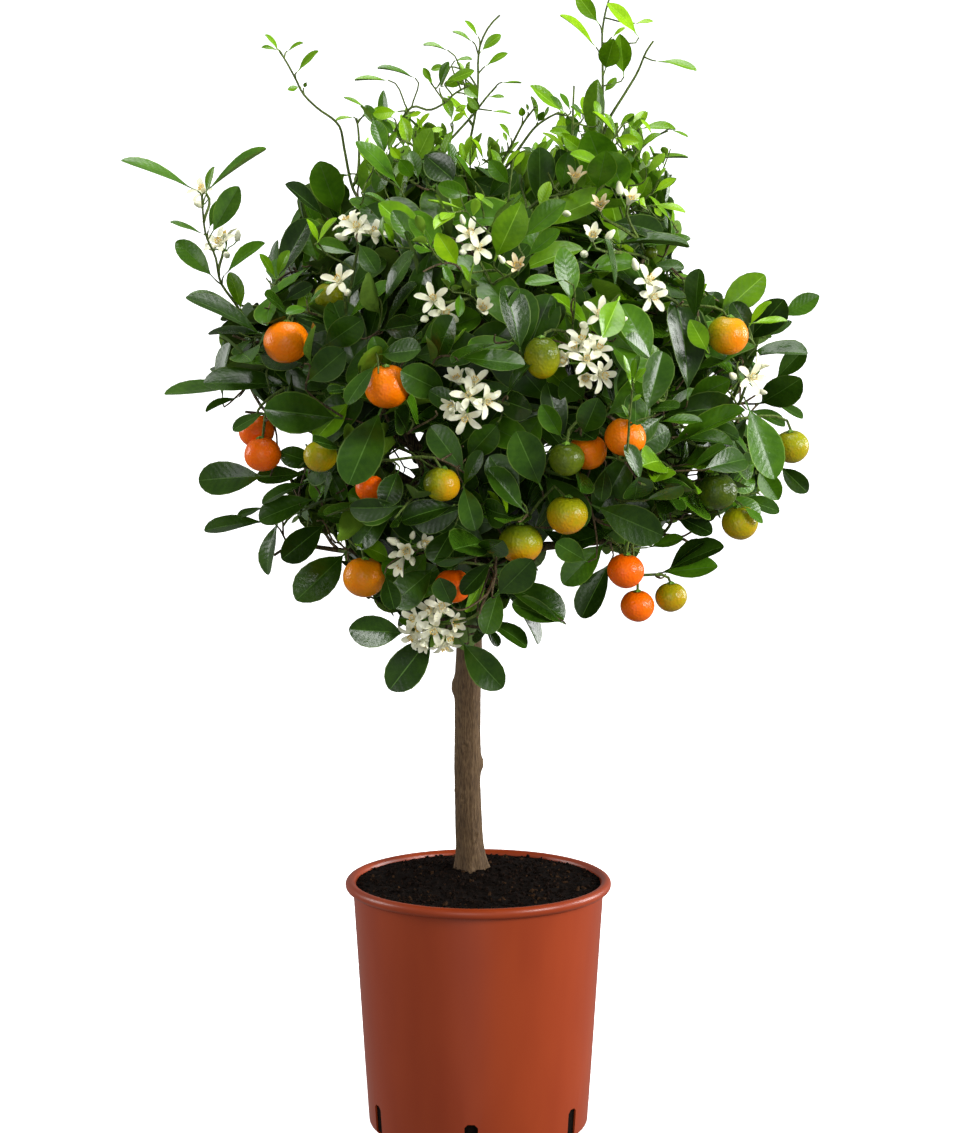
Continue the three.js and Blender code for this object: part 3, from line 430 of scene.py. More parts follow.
soil = make_soil()

# %% [markdown]
# ## Many small things in one mesh
# Leaves, twigs, crumbs and petals come in hundreds and thousands. As single objects they
# would choke the file, so each kind is modelled once, read out as arrays, and written into
# a `Heap`: all copies, each turned, bent and sized in its own way, as one mesh.

# %% Templates and heaps
class Template:
    """A modelled shape as arrays: corners in millimetres, and its faces."""

    def __init__(self, piece):
        clear_selection()
        mesh = piece.data
        self.points = np.array([corner.co for corner in mesh.vertices]) / MM
        self.corners = np.array([i for face in mesh.polygons for i in face.vertices])
        self.sizes = np.array([len(face.vertices) for face in mesh.polygons])
        self.kinds = np.array([face.material_index for face in mesh.polygons])
        bpy.data.objects.remove(piece)


class Heap:
    """Gathers shapes and turns them into one mesh."""

    def __init__(self):
        self.points, self.corners, self.sizes, self.kinds, self.values = [], [], [], [], []
        self.count = 0

    def add(self, points, corners, sizes, kinds, values=None):
        self.points.append(points)
        self.corners.append(corners + self.count)
        self.sizes.append(sizes)
        self.kinds.append(kinds)
        self.values.append(np.zeros(len(points)) if values is None else values)
        self.count += len(points)

    def lay(self, template, points, kinds=None, values=None):
        """Adds a copy of a template with its corners at these points."""
        self.add(points, template.corners, template.sizes,
                 template.kinds if kinds is None else kinds, values)

    def lay_tube(self, line, radii, sides, kind=0, relief=None):
        points, corners, sizes = tube(line, radii, sides, relief)
        self.add(points, corners, sizes, np.full(len(sizes), kind))

    def hand_over(self, name, materials, slot, nodes, smooth, attribute=None):
        """Makes one mesh of all, and hands it over as a finished piece."""
        sizes = np.concatenate(self.sizes)
        mesh = bpy.data.meshes.new(name)
        mesh.vertices.add(self.count)
        mesh.vertices.foreach_set("co", np.concatenate(self.points).ravel() * MM)
        mesh.loops.add(int(sizes.sum()))
        mesh.loops.foreach_set("vertex_index", np.concatenate(self.corners).astype(np.int32))
        mesh.polygons.add(len(sizes))
        starts = np.concatenate([[0], np.cumsum(sizes)[:-1]]).astype(np.int32)
        mesh.polygons.foreach_set("loop_start", starts)
        mesh.polygons.foreach_set("material_index", np.concatenate(self.kinds).astype(np.int32))
        for material in materials:
            mesh.materials.append(material)
        if attribute:
            values = np.concatenate(self.values)
            kind, field = ("FLOAT", "value") if values.ndim == 1 else ("FLOAT_VECTOR", "vector")
            layer = mesh.attributes.new(attribute, kind, "POINT")
            layer.data.foreach_set(field, values.ravel())
        mesh.update(calc_edges=True)
        mesh.validate()
        piece = bpy.data.objects.new(name, mesh)
        bpy.context.scene.collection.objects.link(piece)
        hand_over(piece, name, nodes, smooth=smooth)


# %% Seeded dice, and vectors
class Dice:
    """Numbers from 0 to 1 that are the same on every run."""

    def __init__(self, seed):
        self.state = seed

    def __call__(self):
        whole = 0xFFFFFFFF
        self.state = (self.state + 0x6D2B79F5) & whole
        t = ((self.state ^ (self.state >> 15)) * (1 | self.state)) & whole
        t = (t + (((t ^ (t >> 7)) * (61 | t)) & whole)) & whole ^ t
        return ((t ^ (t >> 14)) & whole) / 4294967296

    def around(self, amount):
        return (self() - 0.5) * 2 * amount

    def between(self, low, high):
        return low + (high - low) * self()

    def vector(self, amount):
        return np.array([self.around(amount) for _ in range(3)])


UP = np.array([0.0, 0.0, 1.0])


def lengths(vectors):
    return np.linalg.norm(vectors, axis=-1)


def unit(vector):
    return vector / (np.linalg.norm(vector) + 1e-12)


def turned(vector, axis, angle):
    """A vector turned round an axis, by the right-hand rule."""
    return (vector * math.cos(angle) + np.cross(axis, vector) * math.sin(angle)
            + axis * (axis @ vector) * (1 - math.cos(angle)))


# %% Soil: crumbs
CRUMBS = 2600
CRUMB_LEAST, CRUMB_MORE = 0.5, 1.7  # mm, and few are large
CRUMB_LONG, CRUMB_FLAT, CRUMB_UP = 1.9, 0.8, 0.2
CRUMB_SHADES = 2.2  # two shades of peat, and now and then a fibre


def crumb_template():
    clear_selection()
    bpy.ops.mesh.primitive_ico_sphere_add(subdivisions=1, radius=MM)
    crumb = bpy.context.object
    start_edit(crumb)
    bpy.ops.transform.vertex_random(offset=0.35 * MM, seed=4)
    return Template(crumb)


def make_crumbs():
    crumb, heap, dice = crumb_template(), Heap(), Dice(5)
    for _ in range(CRUMBS):
        away, turn = SOIL_RADIUS * 0.985 * math.sqrt(dice()), dice() * 2 * math.pi
        x, y = away * math.cos(turn), away * math.sin(turn)
        size = CRUMB_LEAST + CRUMB_MORE * dice() ** 3
        spin = np.array([unit(dice.vector(1)) for _ in range(2)])
        third = unit(np.cross(spin[0], spin[1]))
        axes = np.array([spin[0], np.cross(third, spin[0]), third])
        lump = (crumb.points * [size * dice.between(1, CRUMB_LONG), size, size * CRUMB_FLAT]) @ axes
        lump += [x, y, soil_height(x, y) + size * CRUMB_UP]
        heap.lay(crumb, lump, crumb.kinds + int(dice() * CRUMB_SHADES))
    return heap


def peat(name, dark, brown):
    """Moist peat: almost black, with brown fibres, and quite matte."""
    material, tree, shader, place = new_material(name, {"Roughness": 0.95, "Specular IOR Level": 0.06})
    grain = add_node(tree, "TexNoise", {"Vector": place, "Scale": per_metre(3.5), "Detail": 6,
                                        "Roughness": 0.7})
    finish_skin(tree, shader, grain.outputs["Fac"], [(0.38, dark), (0.72, brown)],
                grain.outputs["Fac"], strength=0.8, depth=1.2)
    return material


soil_finishes = [peat("peat_dark", "#080503", "#170e09"), peat("peat_brown", "#0e0805", "#241710"),
                 peat("peat_fibre", "#22160c", "#46301e")]
hand_over(soil, "peat_soil", ["soil"], soil_finishes[:1], smooth=60)
make_crumbs().hand_over("peat_crumbs", soil_finishes, "peat_soil", ["soil"], smooth=20)

# %% [markdown]
# ## How the tree is built
# A trunk carries boughs, and each bough carries a mass of foliage with a heart in its
# middle. A mass keeps to the space that lies nearer to its own heart than to any other.
# These are the same driving values and the same rule as in the construction model, so
# that the fine tree grows where the plain one stands.

# %% Driving values of the tree
TRUNK_AXIS = [(-5.5, 30), (-8, 29.3), (-9.7, 28), (-9.6, 25), (-7.5, 22), (-5, 20), (0, 13)]
TRUNK_HEIGHTS = [226.3, 252, 306, 378, 450, 511, 612]
TRUNK_RADII = [14.2, 12.4, 11.9, 11.6, 11.5, 11.2, 7.5]
KNOTS = [(396, 3.3, 5), (325, 0.1, 4.2)]  # height, turn, radius
SCARS = [(343, -1.72, 3.0), (295, -1.95, 3.2), (260, -1.08, 3.4), (402, -1.14, 1.8), (300, -2.7, 2.4)]

CROWN_CENTRE = np.array([22.0, 5.0, 640.0])
CROWN_HALF = np.array([285.0, 250.0, 232.0])
CROWN_REACH = 1.07  # leaves stay inside the round crown, made larger by this
DRAWN_IN = (1, 0.93, 0.86, 0.79)  # shares of their way out, tried for twigs that pass the outline

# Masses by the place of their hearts, what carries each bough, and where on it.
MASSES = {
    "lower_left": ((-175, -80, 528), "trunk", 0.7),
    "lower_left_back": ((-125, 120, 530), "trunk", 0.74),
    "lower_front": ((15, -150, 520), "trunk", 0.72),
    "lower_right": ((190, -50, 530), "trunk", 0.71),
    "lower_back": ((70, 160, 525), "trunk", 0.76),
    "middle_left": ((-205, 0, 645), "trunk", 0.8),
    "middle_front_left": ((-85, -150, 640), "trunk", 0.83),
    "middle_front_right": ((95, -150, 650), "trunk", 0.86),
    "middle_right": ((235, -25, 655), "trunk", 0.82),
    "middle_right_back": ((165, 140, 655), "lower_back", 0.3),
    "middle_left_back": ((-100, 160, 655), "trunk", 0.9),
    "upper_left": ((-160, -25, 772), "middle_left", 0.35),
    "upper_front": ((5, -85, 785), "trunk", 0.985),
    "upper_right": ((150, -30, 792), "middle_right", 0.3),
    "upper_back": ((15, 115, 795), "trunk", 0.95),
    "low_sprig": ((-30, -60, 455), "trunk", 0.6),
}
SHORT = {"low_sprig"}
NAMES = list(MASSES)
HEARTS = np.array([MASSES[name][0] for name in NAMES], float)

BOUGH_RADII = (6.4, 3.0)
BOUGH_SHARE, BOUGH_ENTRY = 0.5, 12
BOUGH_RISE, BOUGH_SINK, SHORT_RISE, SHORT_THIN = 0.35, 0.1, 0.1, 0.6
BOUGH_STOP, BOUGH_STEP = 0.9, 0.04  # a bough ends by this share of its way, tried in steps
LEAVING, ARRIVING = 0.35, 0.33
GOLDEN_TURN = 2.39996


# %% Lines that limbs follow
class Line:
    """The middle line of a limb: evenly spaced points, read by share of its length."""

    def __init__(self, points, count=None):
        points = np.asarray(points, float)
        steps = lengths(np.diff(points, axis=0))
        walked = np.concatenate([[0], np.cumsum(steps)])
        self.length = walked[-1]
        count = count or len(points)
        marks = np.linspace(0, self.length, count)
        self.points = np.column_stack([np.interp(marks, walked, points[:, i]) for i in range(3)])

    def at(self, share):
        mark = np.clip(share, 0, 1) * (len(self.points) - 1)
        low = min(int(mark), len(self.points) - 2)
        return self.points[low] + (self.points[low + 1] - self.points[low]) * (mark - low)

    def heading(self, share):
        low = min(int(share * (len(self.points) - 1)), len(self.points) - 2)
        return unit(self.points[low + 1] - self.points[low])


def bend(start, leave, end, arrive, swing=0.0, count=9):
    """A curve from one place to another that leaves and arrives in given headings."""
    reach = np.linalg.norm(end - start)
    first = start + leave * reach * LEAVING + swing
    second = end - arrive * reach * ARRIVING + swing
    t = np.linspace(0, 1, max(count * 2, 16))[:, None]
    points = ((1 - t) ** 3 * start + 3 * (1 - t) ** 2 * t * first
              + 3 * (1 - t) * t ** 2 * second + t ** 3 * end)
    return Line(points, count)


def through(points, count):
    """A smooth line through given points."""
    points = np.asarray(points, float)
    walked = np.concatenate([[0], np.cumsum(np.sqrt(lengths(np.diff(points, axis=0))))])
    slopes = np.gradient(points, walked, axis=0)
    fine, last = [], len(points) - 2
    for i in range(last + 1):
        span = walked[i + 1] - walked[i]
        t = np.linspace(0, 1, 12, endpoint=i == last)[:, None]
        fine.append((2 * t ** 3 - 3 * t ** 2 + 1) * points[i] + (t ** 3 - 2 * t ** 2 + t) * span * slopes[i]
                    + (3 * t ** 2 - 2 * t ** 3) * points[i + 1] + (t ** 3 - t ** 2) * span * slopes[i + 1])
    return Line(np.concatenate(fine), count)


def depth_in_space(index, points):
    """How far points lie inside a mass's own space."""
    squares = ((points[:, None] - HEARTS[None]) ** 2).sum(2)
    apart = lengths(HEARTS - HEARTS[index])
    others = np.arange(len(HEARTS)) != index
    return ((squares[:, others] - squares[:, [index]]) / (2 * apart[others])).min(1)


def space_of(place):
    return int(np.argmin(((HEARTS - place) ** 2).sum(1)))


def outward(place):
    return unit((place - CROWN_CENTRE) / CROWN_HALF ** 2)


def plan_limbs():
    limbs = {"trunk": through([(x, y, z) for (x, y), z in zip(TRUNK_AXIS, TRUNK_HEIGHTS)], 60)}

    def plan(name):
        if name in limbs:
            return limbs[name]
        heart, carrier, share = MASSES[name]
        start, heart = plan(carrier).at(share), np.array(heart, float)
        way = unit(heart - start)
        turn_up = SHORT_RISE if name in SHORT else BOUGH_RISE
        rise = unit(way * (1 - turn_up) + UP * turn_up)
        sink = unit(way * (1 + BOUGH_SINK) - UP * BOUGH_SINK)
        whole = bend(start, rise, heart, sink, count=60)
        part = BOUGH_SHARE
        own = NAMES.index(name)
        while part < BOUGH_STOP and depth_in_space(own, whole.at(part)[None])[0] < BOUGH_ENTRY:
            part += BOUGH_STEP
        limbs[name] = bend(start, rise, whole.at(part), whole.heading(part), count=17)
        return limbs[name]

    for name in NAMES:
        plan(name)
    return limbs


LIMBS = plan_limbs()
print("boughs", {name: round(line.length) for name, line in LIMBS.items()})

# %% [markdown]
# ## Trunk
# The stem is 23 mm thick, leans a little, and widens into the roots at the soil. Its bark
# is thin and grey-brown, with fine fissures along the stem, knots where shoots were rubbed
# off, and small ring-shaped scars. A ring of corners is extruded along the axis, and a
# subdivided skin then gets the relief by moving its corners, so that it shows in outline.

# %% Trunk: body and relief
TRUNK_SIDES = 48
TRUNK_STEPS = 96
FLARE, FLARE_HEIGHT, FLARE_ROOTS = 3.6, 24.0, 4
TRUNK_SUNK = 3  # its foot is this far down in the soil
BARK_GRAIN = ((2.2, 26, 0.42), (1.1, 12, 0.24), (9, 40, 0.7), (4, 5, 0.16))  # wide, tall, high
KNOT_TALL, KNOT_OUT, KNOT_PIT, KNOT_PIT_SHARP = 1.5, 0.85, 0.35, 2.6
SCAR_TALL, SCAR_OUT, SCAR_PIT, SCAR_SHARP, SCAR_PIT_SHARP = 1.3, 0.9, 0.5, 2.2, 1.8


def trunk_radius(height, turn):
    plain = np.interp(height, TRUNK_HEIGHTS, TRUNK_RADII)
    low = max(0.0, 1 - (height - TRUNK_HEIGHTS[0]) / FLARE_HEIGHT)
    return plain + FLARE * low * low * max(0.0, math.cos(FLARE_ROOTS * turn + 0.6))


def bark_relief(height, turn, radius):
    """How far the bark stands out: fissures along the stem, knots and healed scars."""
    x, y = math.cos(turn) * radius, math.sin(turn) * radius

    def away_from(mark, tall):
        mark_height, mark_turn, mark_radius = mark
        return math.hypot((turn - mark_turn + math.pi) % (2 * math.pi) - math.pi,
                          (height - mark_height) / radius / tall) * radius / mark_radius

    def swell(away, sharp=1.0):
        return math.exp(-(away * sharp) ** 2)

    lift = sum(high * noise.noise(Vector((x / wide, y / wide, height / tall + wide)))
               for wide, tall, high in BARK_GRAIN)
    for knot in KNOTS:
        away = away_from(knot, KNOT_TALL)
        lift += knot[2] * (KNOT_OUT * swell(away) - KNOT_PIT * swell(away, KNOT_PIT_SHARP))
    for scar in SCARS:
        away = away_from(scar, SCAR_TALL)
        lift += SCAR_OUT * swell(away - 1, SCAR_SHARP) - SCAR_PIT * swell(away, SCAR_PIT_SHARP)
    return lift


def make_trunk():
    axis = LIMBS["trunk"]
    low = TRUNK_HEIGHTS[0] - TRUNK_SUNK
    foot = axis.at(0)
    clear_selection()
    bpy.ops.mesh.primitive_circle_add(vertices=TRUNK_SIDES, radius=MM * TRUNK_RADII[0],
                                      fill_type="NGON", location=(foot[0] * MM, foot[1] * MM, low * MM))
    trunk = bpy.context.object
    bpy.ops.object.transform_apply()
    start_edit(trunk)
    pick(trunk, lambda at: True, "EDGE")
    last = np.array([foot[0], foot[1], low])
    radius = TRUNK_RADII[0]
    for step in range(1, TRUNK_STEPS + 1):
        place = axis.at(step / TRUNK_STEPS)
        move = (place - last) * MM
        bpy.ops.mesh.extrude_edges_move(TRANSFORM_OT_translate={"value": tuple(move)})
        wide = trunk_radius(place[2], 1.0)
        bpy.ops.transform.resize(value=(wide / radius, wide / radius, 1),
                                 center_override=tuple(place * MM))
        last, radius = place, wide
    bpy.ops.mesh.edge_face_add()
    end_edit()
    apply_modifier(trunk, "SUBSURF", levels=1, render_levels=1, subdivision_type="SIMPLE")
    centres = axis.points
    for corner in trunk.data.vertices:
        x, y, z = corner.co / MM
        cx, cy = (np.interp(z, centres[:, 2], centres[:, i]) for i in (0, 1))
        turn, away = math.atan2(y - cy, x - cx), math.hypot(x - cx, y - cy)
        if away < 2 or z < low + 0.1:
            continue
        wide = trunk_radius(z, turn) + bark_relief(z, turn, away)
        corner.co.x = (cx + wide * math.cos(turn)) * MM
        corner.co.y = (cy + wide * math.sin(turn)) * MM
    return trunk


trunk = make_trunk()


# %% Tubes for boughs and twigs
ASKEW = 0.01 * np.array([1.0, 0.3, 0])  # so that a tube may also start straight up


def tube(line, radii, sides, relief=None):
    """Corners and faces of a tube along a line, with closed ends."""
    points, count = line.points, len(line.points)
    headings = np.gradient(points, axis=0)
    headings /= lengths(headings)[:, None]
    side = unit(np.cross(headings[0], UP + ASKEW))
    angles = np.arange(sides) * 2 * math.pi / sides
    rings = []
    for i in range(count):
        side = unit(side - headings[i] * (side @ headings[i]))
        other = np.cross(headings[i], side)
        radius = radii[i] * (1 if relief is None else 1 + relief[i])
        rings.append(points[i] + (np.cos(angles) * radius)[:, None] * side
                     + (np.sin(angles) * radius)[:, None] * other)
    ring = np.arange(sides)
    following = (ring + 1) % sides
    quads = [np.column_stack([ring, following, following + sides, ring + sides]) + i * sides
             for i in range(count - 1)]
    caps = [ring[::-1], ring + (count - 1) * sides]
    corners = np.concatenate([*(quad.ravel() for quad in quads), *caps])
    sizes = np.concatenate([np.full(sides * (count - 1), 4), [sides, sides]])
    return np.concatenate(rings), corners, sizes


BOUGH_RINGS, BOUGH_SIDES = 25, 12
BOUGH_LUMPS = 0.07  # share of its radius
COLLAR, COLLAR_ENDS = 0.55, 9  # where a bough leaves its carrier it is thicker


def make_boughs():
    heap, dice = Heap(), Dice(3)
    for name in NAMES:
        shares = np.linspace(0, 1, BOUGH_RINGS)
        radii = np.interp(shares, (0, 1), BOUGH_RADII) * (SHORT_THIN if name in SHORT else 1)
        radii *= 1 + COLLAR * np.exp(-shares * COLLAR_ENDS)
        lumps = np.array([[dice.around(BOUGH_LUMPS) for _ in range(BOUGH_SIDES)]
                          for _ in range(BOUGH_RINGS)])
        heap.lay_tube(Line(LIMBS[name].points, BOUGH_RINGS), radii, BOUGH_SIDES, relief=lumps)
    return heap


# %% [markdown]
# Bark is made in the shader as on the mesh: a cloud pattern drawn out along the stem, from
# dark fissures to grey-brown ridges, with a bump of the same pattern for what is finer than
# the mesh. Young shoots are still green, so twigs get a smoother green skin.

# %% Bark and twig finishes
CLOUDS_SHARE = 0.25  # of broad patches against fine fissures


def bark(name, dark, middle, pale, grain):
    material, tree, shader, place = new_material(name, {"Roughness": 0.82, "Specular IOR Level": 0.3})
    drawn = add_node(tree, "Mapping", {"Vector": place, "Scale": (1, 1, 0.14)}).outputs["Vector"]
    fissures = add_node(tree, "TexNoise", {"Vector": drawn, "Scale": per_metre(grain), "Detail": 6,
                                           "Roughness": 0.62})
    clouds = add_node(tree, "TexNoise", {"Vector": place, "Scale": per_metre(14), "Detail": 3})
    both = add_node(tree, "Math", {0: clouds.outputs["Fac"], 1: CLOUDS_SHARE,
                                   2: fissures.outputs["Fac"]}, operation="MULTIPLY_ADD")
    finish_skin(tree, shader, both.outputs[0], [(0.5, dark), (0.62, middle), (0.78, pale)],
                fissures.outputs["Fac"], strength=0.7, depth=0.8)
    return material


trunk_bark = bark("citrus_bark", "#3e2e1b", "#523e28", "#645036", 1.0)
hand_over(trunk, "trunk_bark", ["trunk"], [trunk_bark], smooth=60)
bough_bark = bark("bough_bark", "#2e2417", "#4c3f28", "#665a3c", 1.4)
bough_nodes = [f"bough_{name}" for name in NAMES]
make_boughs().hand_over("boughs_bark", [bough_bark], "bark", bough_nodes, smooth=60)

# %% [markdown]
# ## Fruit and blossom have their places first
# Leaves grow round them, so they are planned before any leaf. Those at the front have
# their own places. At the sides and back, seeded numbers choose from a golden-angle spread.
# Places that would show through the crown's openings are skipped, so only a few are left,
# and the back has far less fruit than the front.

# %% Places of fruit and blossom
# x, y, z, diameter, share left open to the front, ripeness, and how much riper it is
# towards the right and upwards. Ripeness runs from 0, green, to 1, deep orange.
FRUIT = [
    (-158,-153,715,38,1,0.8,0,0), (-73,-208,682,38,0.8,0.84,0,-0.04), (-186,-117,638,30,0.6,0.95,0,0),
    (-179,-145,621,31,1,0.95,0,0), (-129,-182,623,28,0.6,0.42,0,-0.04), (-88,-195,598,24,0.4,1.0,0,0),
    (-95,-146,518,36,0.9,0.7,0,0), (-29,-213,603,30,1,0.38,-0.2,-0.05), (52,-217,706,29,1,0.3,0.04,-0.16),
    (72,-218,624,29,1,0.14,0,-0.04), (90,-184,627,32,0.5,0.8,0,0), (120,-200,640,34,0.7,0.82,0,-0.05),
    (73,-203,577,34,1,0.46,0,-0.16), (35,-196,553,36,1,0.42,0,-0.32), (-21,-157,512,31,0.3,1.0,0,0),
    (123,-158,525,31,1,0.97,0,0), (135,-120,490,29,1,0.93,0,0), (164,-109,496,27,1,0.45,0,-0.05),
    (207,-145,720,35,1,0.56,-0.2,-0.06), (199,-154,591,33,0.8,0.06,0,-0.04),
    (221,-120,561,31,1,0.42,0,-0.08), (266,-96,623,30,0.6,0.4,0,-0.05), (-124,-122,751,25,0.4,0.3,0,0),
    (145,-110,787,11,1,0.1,0,0)]
FRUIT_TALL = {8: 1.2}  # one is longer than it is wide
FRUIT_SIZES = (26, 38)
BACK_RIPE = (0.05, -0.08)
# x, y, z, flowers, buds
BLOSSOM = [
    (-36,-195,750,2,1), (4,-205,742,1,0), (-7,-222,675,6,3), (87,-212,703,7,2), (-37,-118,471,10,5),
    (-58,-181,546,3,5), (-6,-160,802,2,2), (-100,-125,806,3,3), (-113,-158,764,1,1), (-224,0,790,2,3),
    (33,-185,775,1,1), (94,-153,798,1,2), (139,-164,764,2,2), (98,-199,738,1,3), (226,-140,684,2,2),
    (-236,-12,836,1,1), (81,-105,845,1,0), (125,-115,827,1,1), (102,-112,822,1,0), (64,-125,832,0,1),
    (47,-135,816,0,1)]
SPENT, CUPPED = (10, 16, 18), (5, 11, 17)  # groups past their best, and not yet open
# At the back: how many places are tried, from how far back and between which heights, the
# share left out, how deep they are, how far from others, and how clear of the sky.
BACK_FRUIT = (48, 0.1, -0.62, 0.62, 0.4, 0.84, 75, FRUIT_SIZES[1])
FLOWER_RADIUS = 18
BACK_BLOSSOM = (48, 0.3, -0.5, 1, 0.7, 0.93, 60, FLOWER_RADIUS)
CLUSTER_REACH, CLUSTER_GROWS, FACES_EYE, FACES_UP = 1.2, 0.06, 0.8, 0.25
BLOSSOM_OPEN = 0.75
# Places that stay open, as seen from the front on the upright plane through the pot's
# middle, each with its radius.
SKY = [
    (-68,606,11), (103,642,5), (194,628,9), (192,590,7), (210,668,11), (84,496,17), (-158,498,12),
    (-20,616,6), (244,808,34), (-186,822,14), (-146,880,16), (82,420,24), (-30,420,8), (-34,602,6),
    (-59,586,5), (61,609,5), (89,582,5), (-113,838,5), (-57,836,5), (-42,819,6), (186,629,9), (170,601,6),
    (-157,598,5), (-131,527,12), (-167,549,5), (-196,651,12), (226,646,9), (261,638,6), (-56,620,5)]
print(len(FRUIT), "fruit and", len(BLOSSOM), "groups of blossom at the front")

# %% The crown's outline
# As seen from the front, on the same plane, without the long shoots.
OUTLINE = np.array([
    (-9,431), (-48,440), (-89,472), (-118,506), (-138,533), (-161,547), (-175,567), (-172,590),
    (-147,606), (-145,625), (-182,643), (-190,659), (-213,673), (-240,666), (-225,699), (-233,720),
    (-212,743), (-189,739), (-186,764), (-180,790), (-157,818), (-168,844), (-147,862), (-129,864),
    (-117,854), (-103,854), (-102,887), (-91,900), (-70,913), (-66,888), (-54,875), (-32,873), (-16,859),
    (1,863), (23,859), (36,869), (45,876), (55,875), (64,866), (71,881), (62,894), (81,902), (93,918),
    (100,933), (109,919), (116,904), (137,902), (165,895), (158,880), (175,870), (165,857), (172,849),
    (165,830), (178,799), (167,776), (194,762), (213,746), (239,734), (257,717), (240,697), (247,676),
    (226,659), (247,646), (239,620), (261,601), (252,574), (227,556), (197,546), (171,549), (159,526),
    (143,517), (113,524), (93,542), (72,549), (60,540), (53,503), (26,481), (12,445)], float)

# Young shoots pass it by this at its top, and this far to either side.
YOUNG_ABOVE, YOUNG_HALF = 26, 125
print(len(OUTLINE), "corners of the outline")


# %% As the eye sees it
def seen(points):
    """Places as the eye sees them, on the upright plane through the pot's middle."""
    share = EYE[1] / (EYE[1] - points[..., 1])
    return EYE[[0, 2]] + (points[..., [0, 2]] - EYE[[0, 2]]) * share[..., None]


def in_sky(places, margin=0.0):
    sky = np.array(SKY, float)
    away = lengths(places[..., None, :] - sky[:, :2])
    return (away < sky[:, 2] + margin).any(-1)


def in_outline(places):
    x, z = places[..., 0, None], places[..., 1, None]
    (x1, z1), (x2, z2) = OUTLINE.T, np.roll(OUTLINE, -1, 0).T
    meets = x1 + (z - z1) / np.where(z1 == z2, 1e-9, z2 - z1) * (x2 - x1)
    return (((z1 > z) != (z2 > z)) & (x < meets)).sum(-1) % 2 == 1


def draw_in(place):
    """Brings a place nearer to the crown's middle until it is inside the outline."""
    for share in DRAWN_IN:
        nearer = CROWN_CENTRE + (place - CROWN_CENTRE) * share
        if in_outline(seen(nearer)):
            return nearer
    return None


def in_young_outline(points):
    """Whether places keep to the outline, or stand no higher above its top than young shoots."""
    topmost = np.abs(points[..., 0] - CROWN_CENTRE[0]) < YOUNG_HALF
    return in_outline(seen(points - UP * YOUNG_ABOVE * topmost[..., None]))


def crown_share(points):
    return lengths((points - CROWN_CENTRE) / CROWN_HALF)


# %% Plan fruit and blossom
def spread(count):
    """Golden-angle points over a sphere, from its top to its foot."""
    for i in range(count):
        height = 1 - 2 * (i + 0.5) / count
        ring = math.sqrt(1 - height * height)
        turn = i * GOLDEN_TURN
        yield np.array([ring * math.cos(turn), ring * math.sin(turn), height])


def on_crown(way, depth):
    return way * CROWN_HALF * depth + CROWN_CENTRE


def back_places(rule, dice, groups):
    """Even places at the sides and back, clear of the sky and of what is there by then."""
    count, back, low, high, skipped, depth, apart, margin = rule
    for way in spread(count):
        if way[1] < back or not low < way[2] < high or dice() < skipped:
            continue
        at = on_crown(way, depth)
        taken = [thing["at"] for group in groups for thing in group]
        if not in_sky(seen(at), margin) and lengths(taken - at).min() >= apart:
            yield at


def plan_things():
    dice = Dice(7)
    fruit = [dict(at=np.array(f[:3], float), reach=f[3] / 2, open=f[4], ripe=f[5:8]) for f in FRUIT]
    for at in back_places(BACK_FRUIT, dice, [fruit]):
        ripe = 0.25 + 0.75 * abs(math.sin(7.3 * len(fruit)))  # every stage of it in turn
        fruit.append(dict(at=at, reach=dice.between(*FRUIT_SIZES) / 2, open=0, ripe=(ripe, *BACK_RIPE)))
    blossom = [dict(at=np.array(b[:3], float), flowers=b[3], buds=b[4], open=BLOSSOM_OPEN)
               for b in BLOSSOM]
    for at in back_places(BACK_BLOSSOM, dice, [fruit, blossom]):
        blossom.append(dict(at=at, flowers=1 if dice() < 0.5 else 2, buds=2, open=0))
    for thing in blossom:
        drawn = draw_in(thing["at"])
        if not thing["open"] and drawn is not None:
            thing["at"] = drawn
        more = CLUSTER_REACH + CLUSTER_GROWS * thing["flowers"]
        thing["reach"] = FLOWER_RADIUS * (more if thing["flowers"] > 1 else 1)
        to_eye = unit(EYE - thing["at"]) * (FACES_EYE if thing["open"] else 0)
        thing["facing"] = unit(outward(thing["at"]) + UP * FACES_UP + to_eye)
    return fruit, blossom


fruits, blossoms = plan_things()
THINGS = fruits + blossoms
THING_AT = np.array([thing["at"] for thing in THINGS])
THING_REACH = np.array([thing["reach"] for thing in THINGS])
THING_OPEN = np.array([thing["open"] * thing["reach"] for thing in THINGS])
THING_SEEN = seen(THING_AT)
BLOSSOM_NUMBERS = np.arange(len(fruits), len(THINGS))
print(len(fruits), "fruit,", len(blossoms), "groups of blossom")

# %% [markdown]
# ## Growth
# Twigs grow from a stem in the heart of each mass. A twig's end is chosen first, by a
# golden-angle spread through the crown, and the twig then comes from the nearest node that
# doesn't make it turn back. That rule fills a crown evenly, as light does. A second round
# brings the finer twigs, which carry most of the leaves.

# %% Rules for twigs
TWIG_RADII = (1.6, 1.0)
STEM_RADII = (2.6, 1.2)
FINE_RADII = (1.05, 0.7)
NODE_SPACING = 16
TWIG_KEEPS_ON, TWIG_SWING, TWIG_BOWS, SHORTEST_TWIG = 0.35, 3, (0, 14, -14, 28), 8
STRAIGHTER_BELOW = 60  # twigs shorter than this bow less
TURN_BACK_COST, PATH_COST, NODES_TRIED = 0.45, 0.25, 5
CLEARANCE = 0.6
LAST_NODE, LAST_SPRIG_NODE = 0.95, 0.97
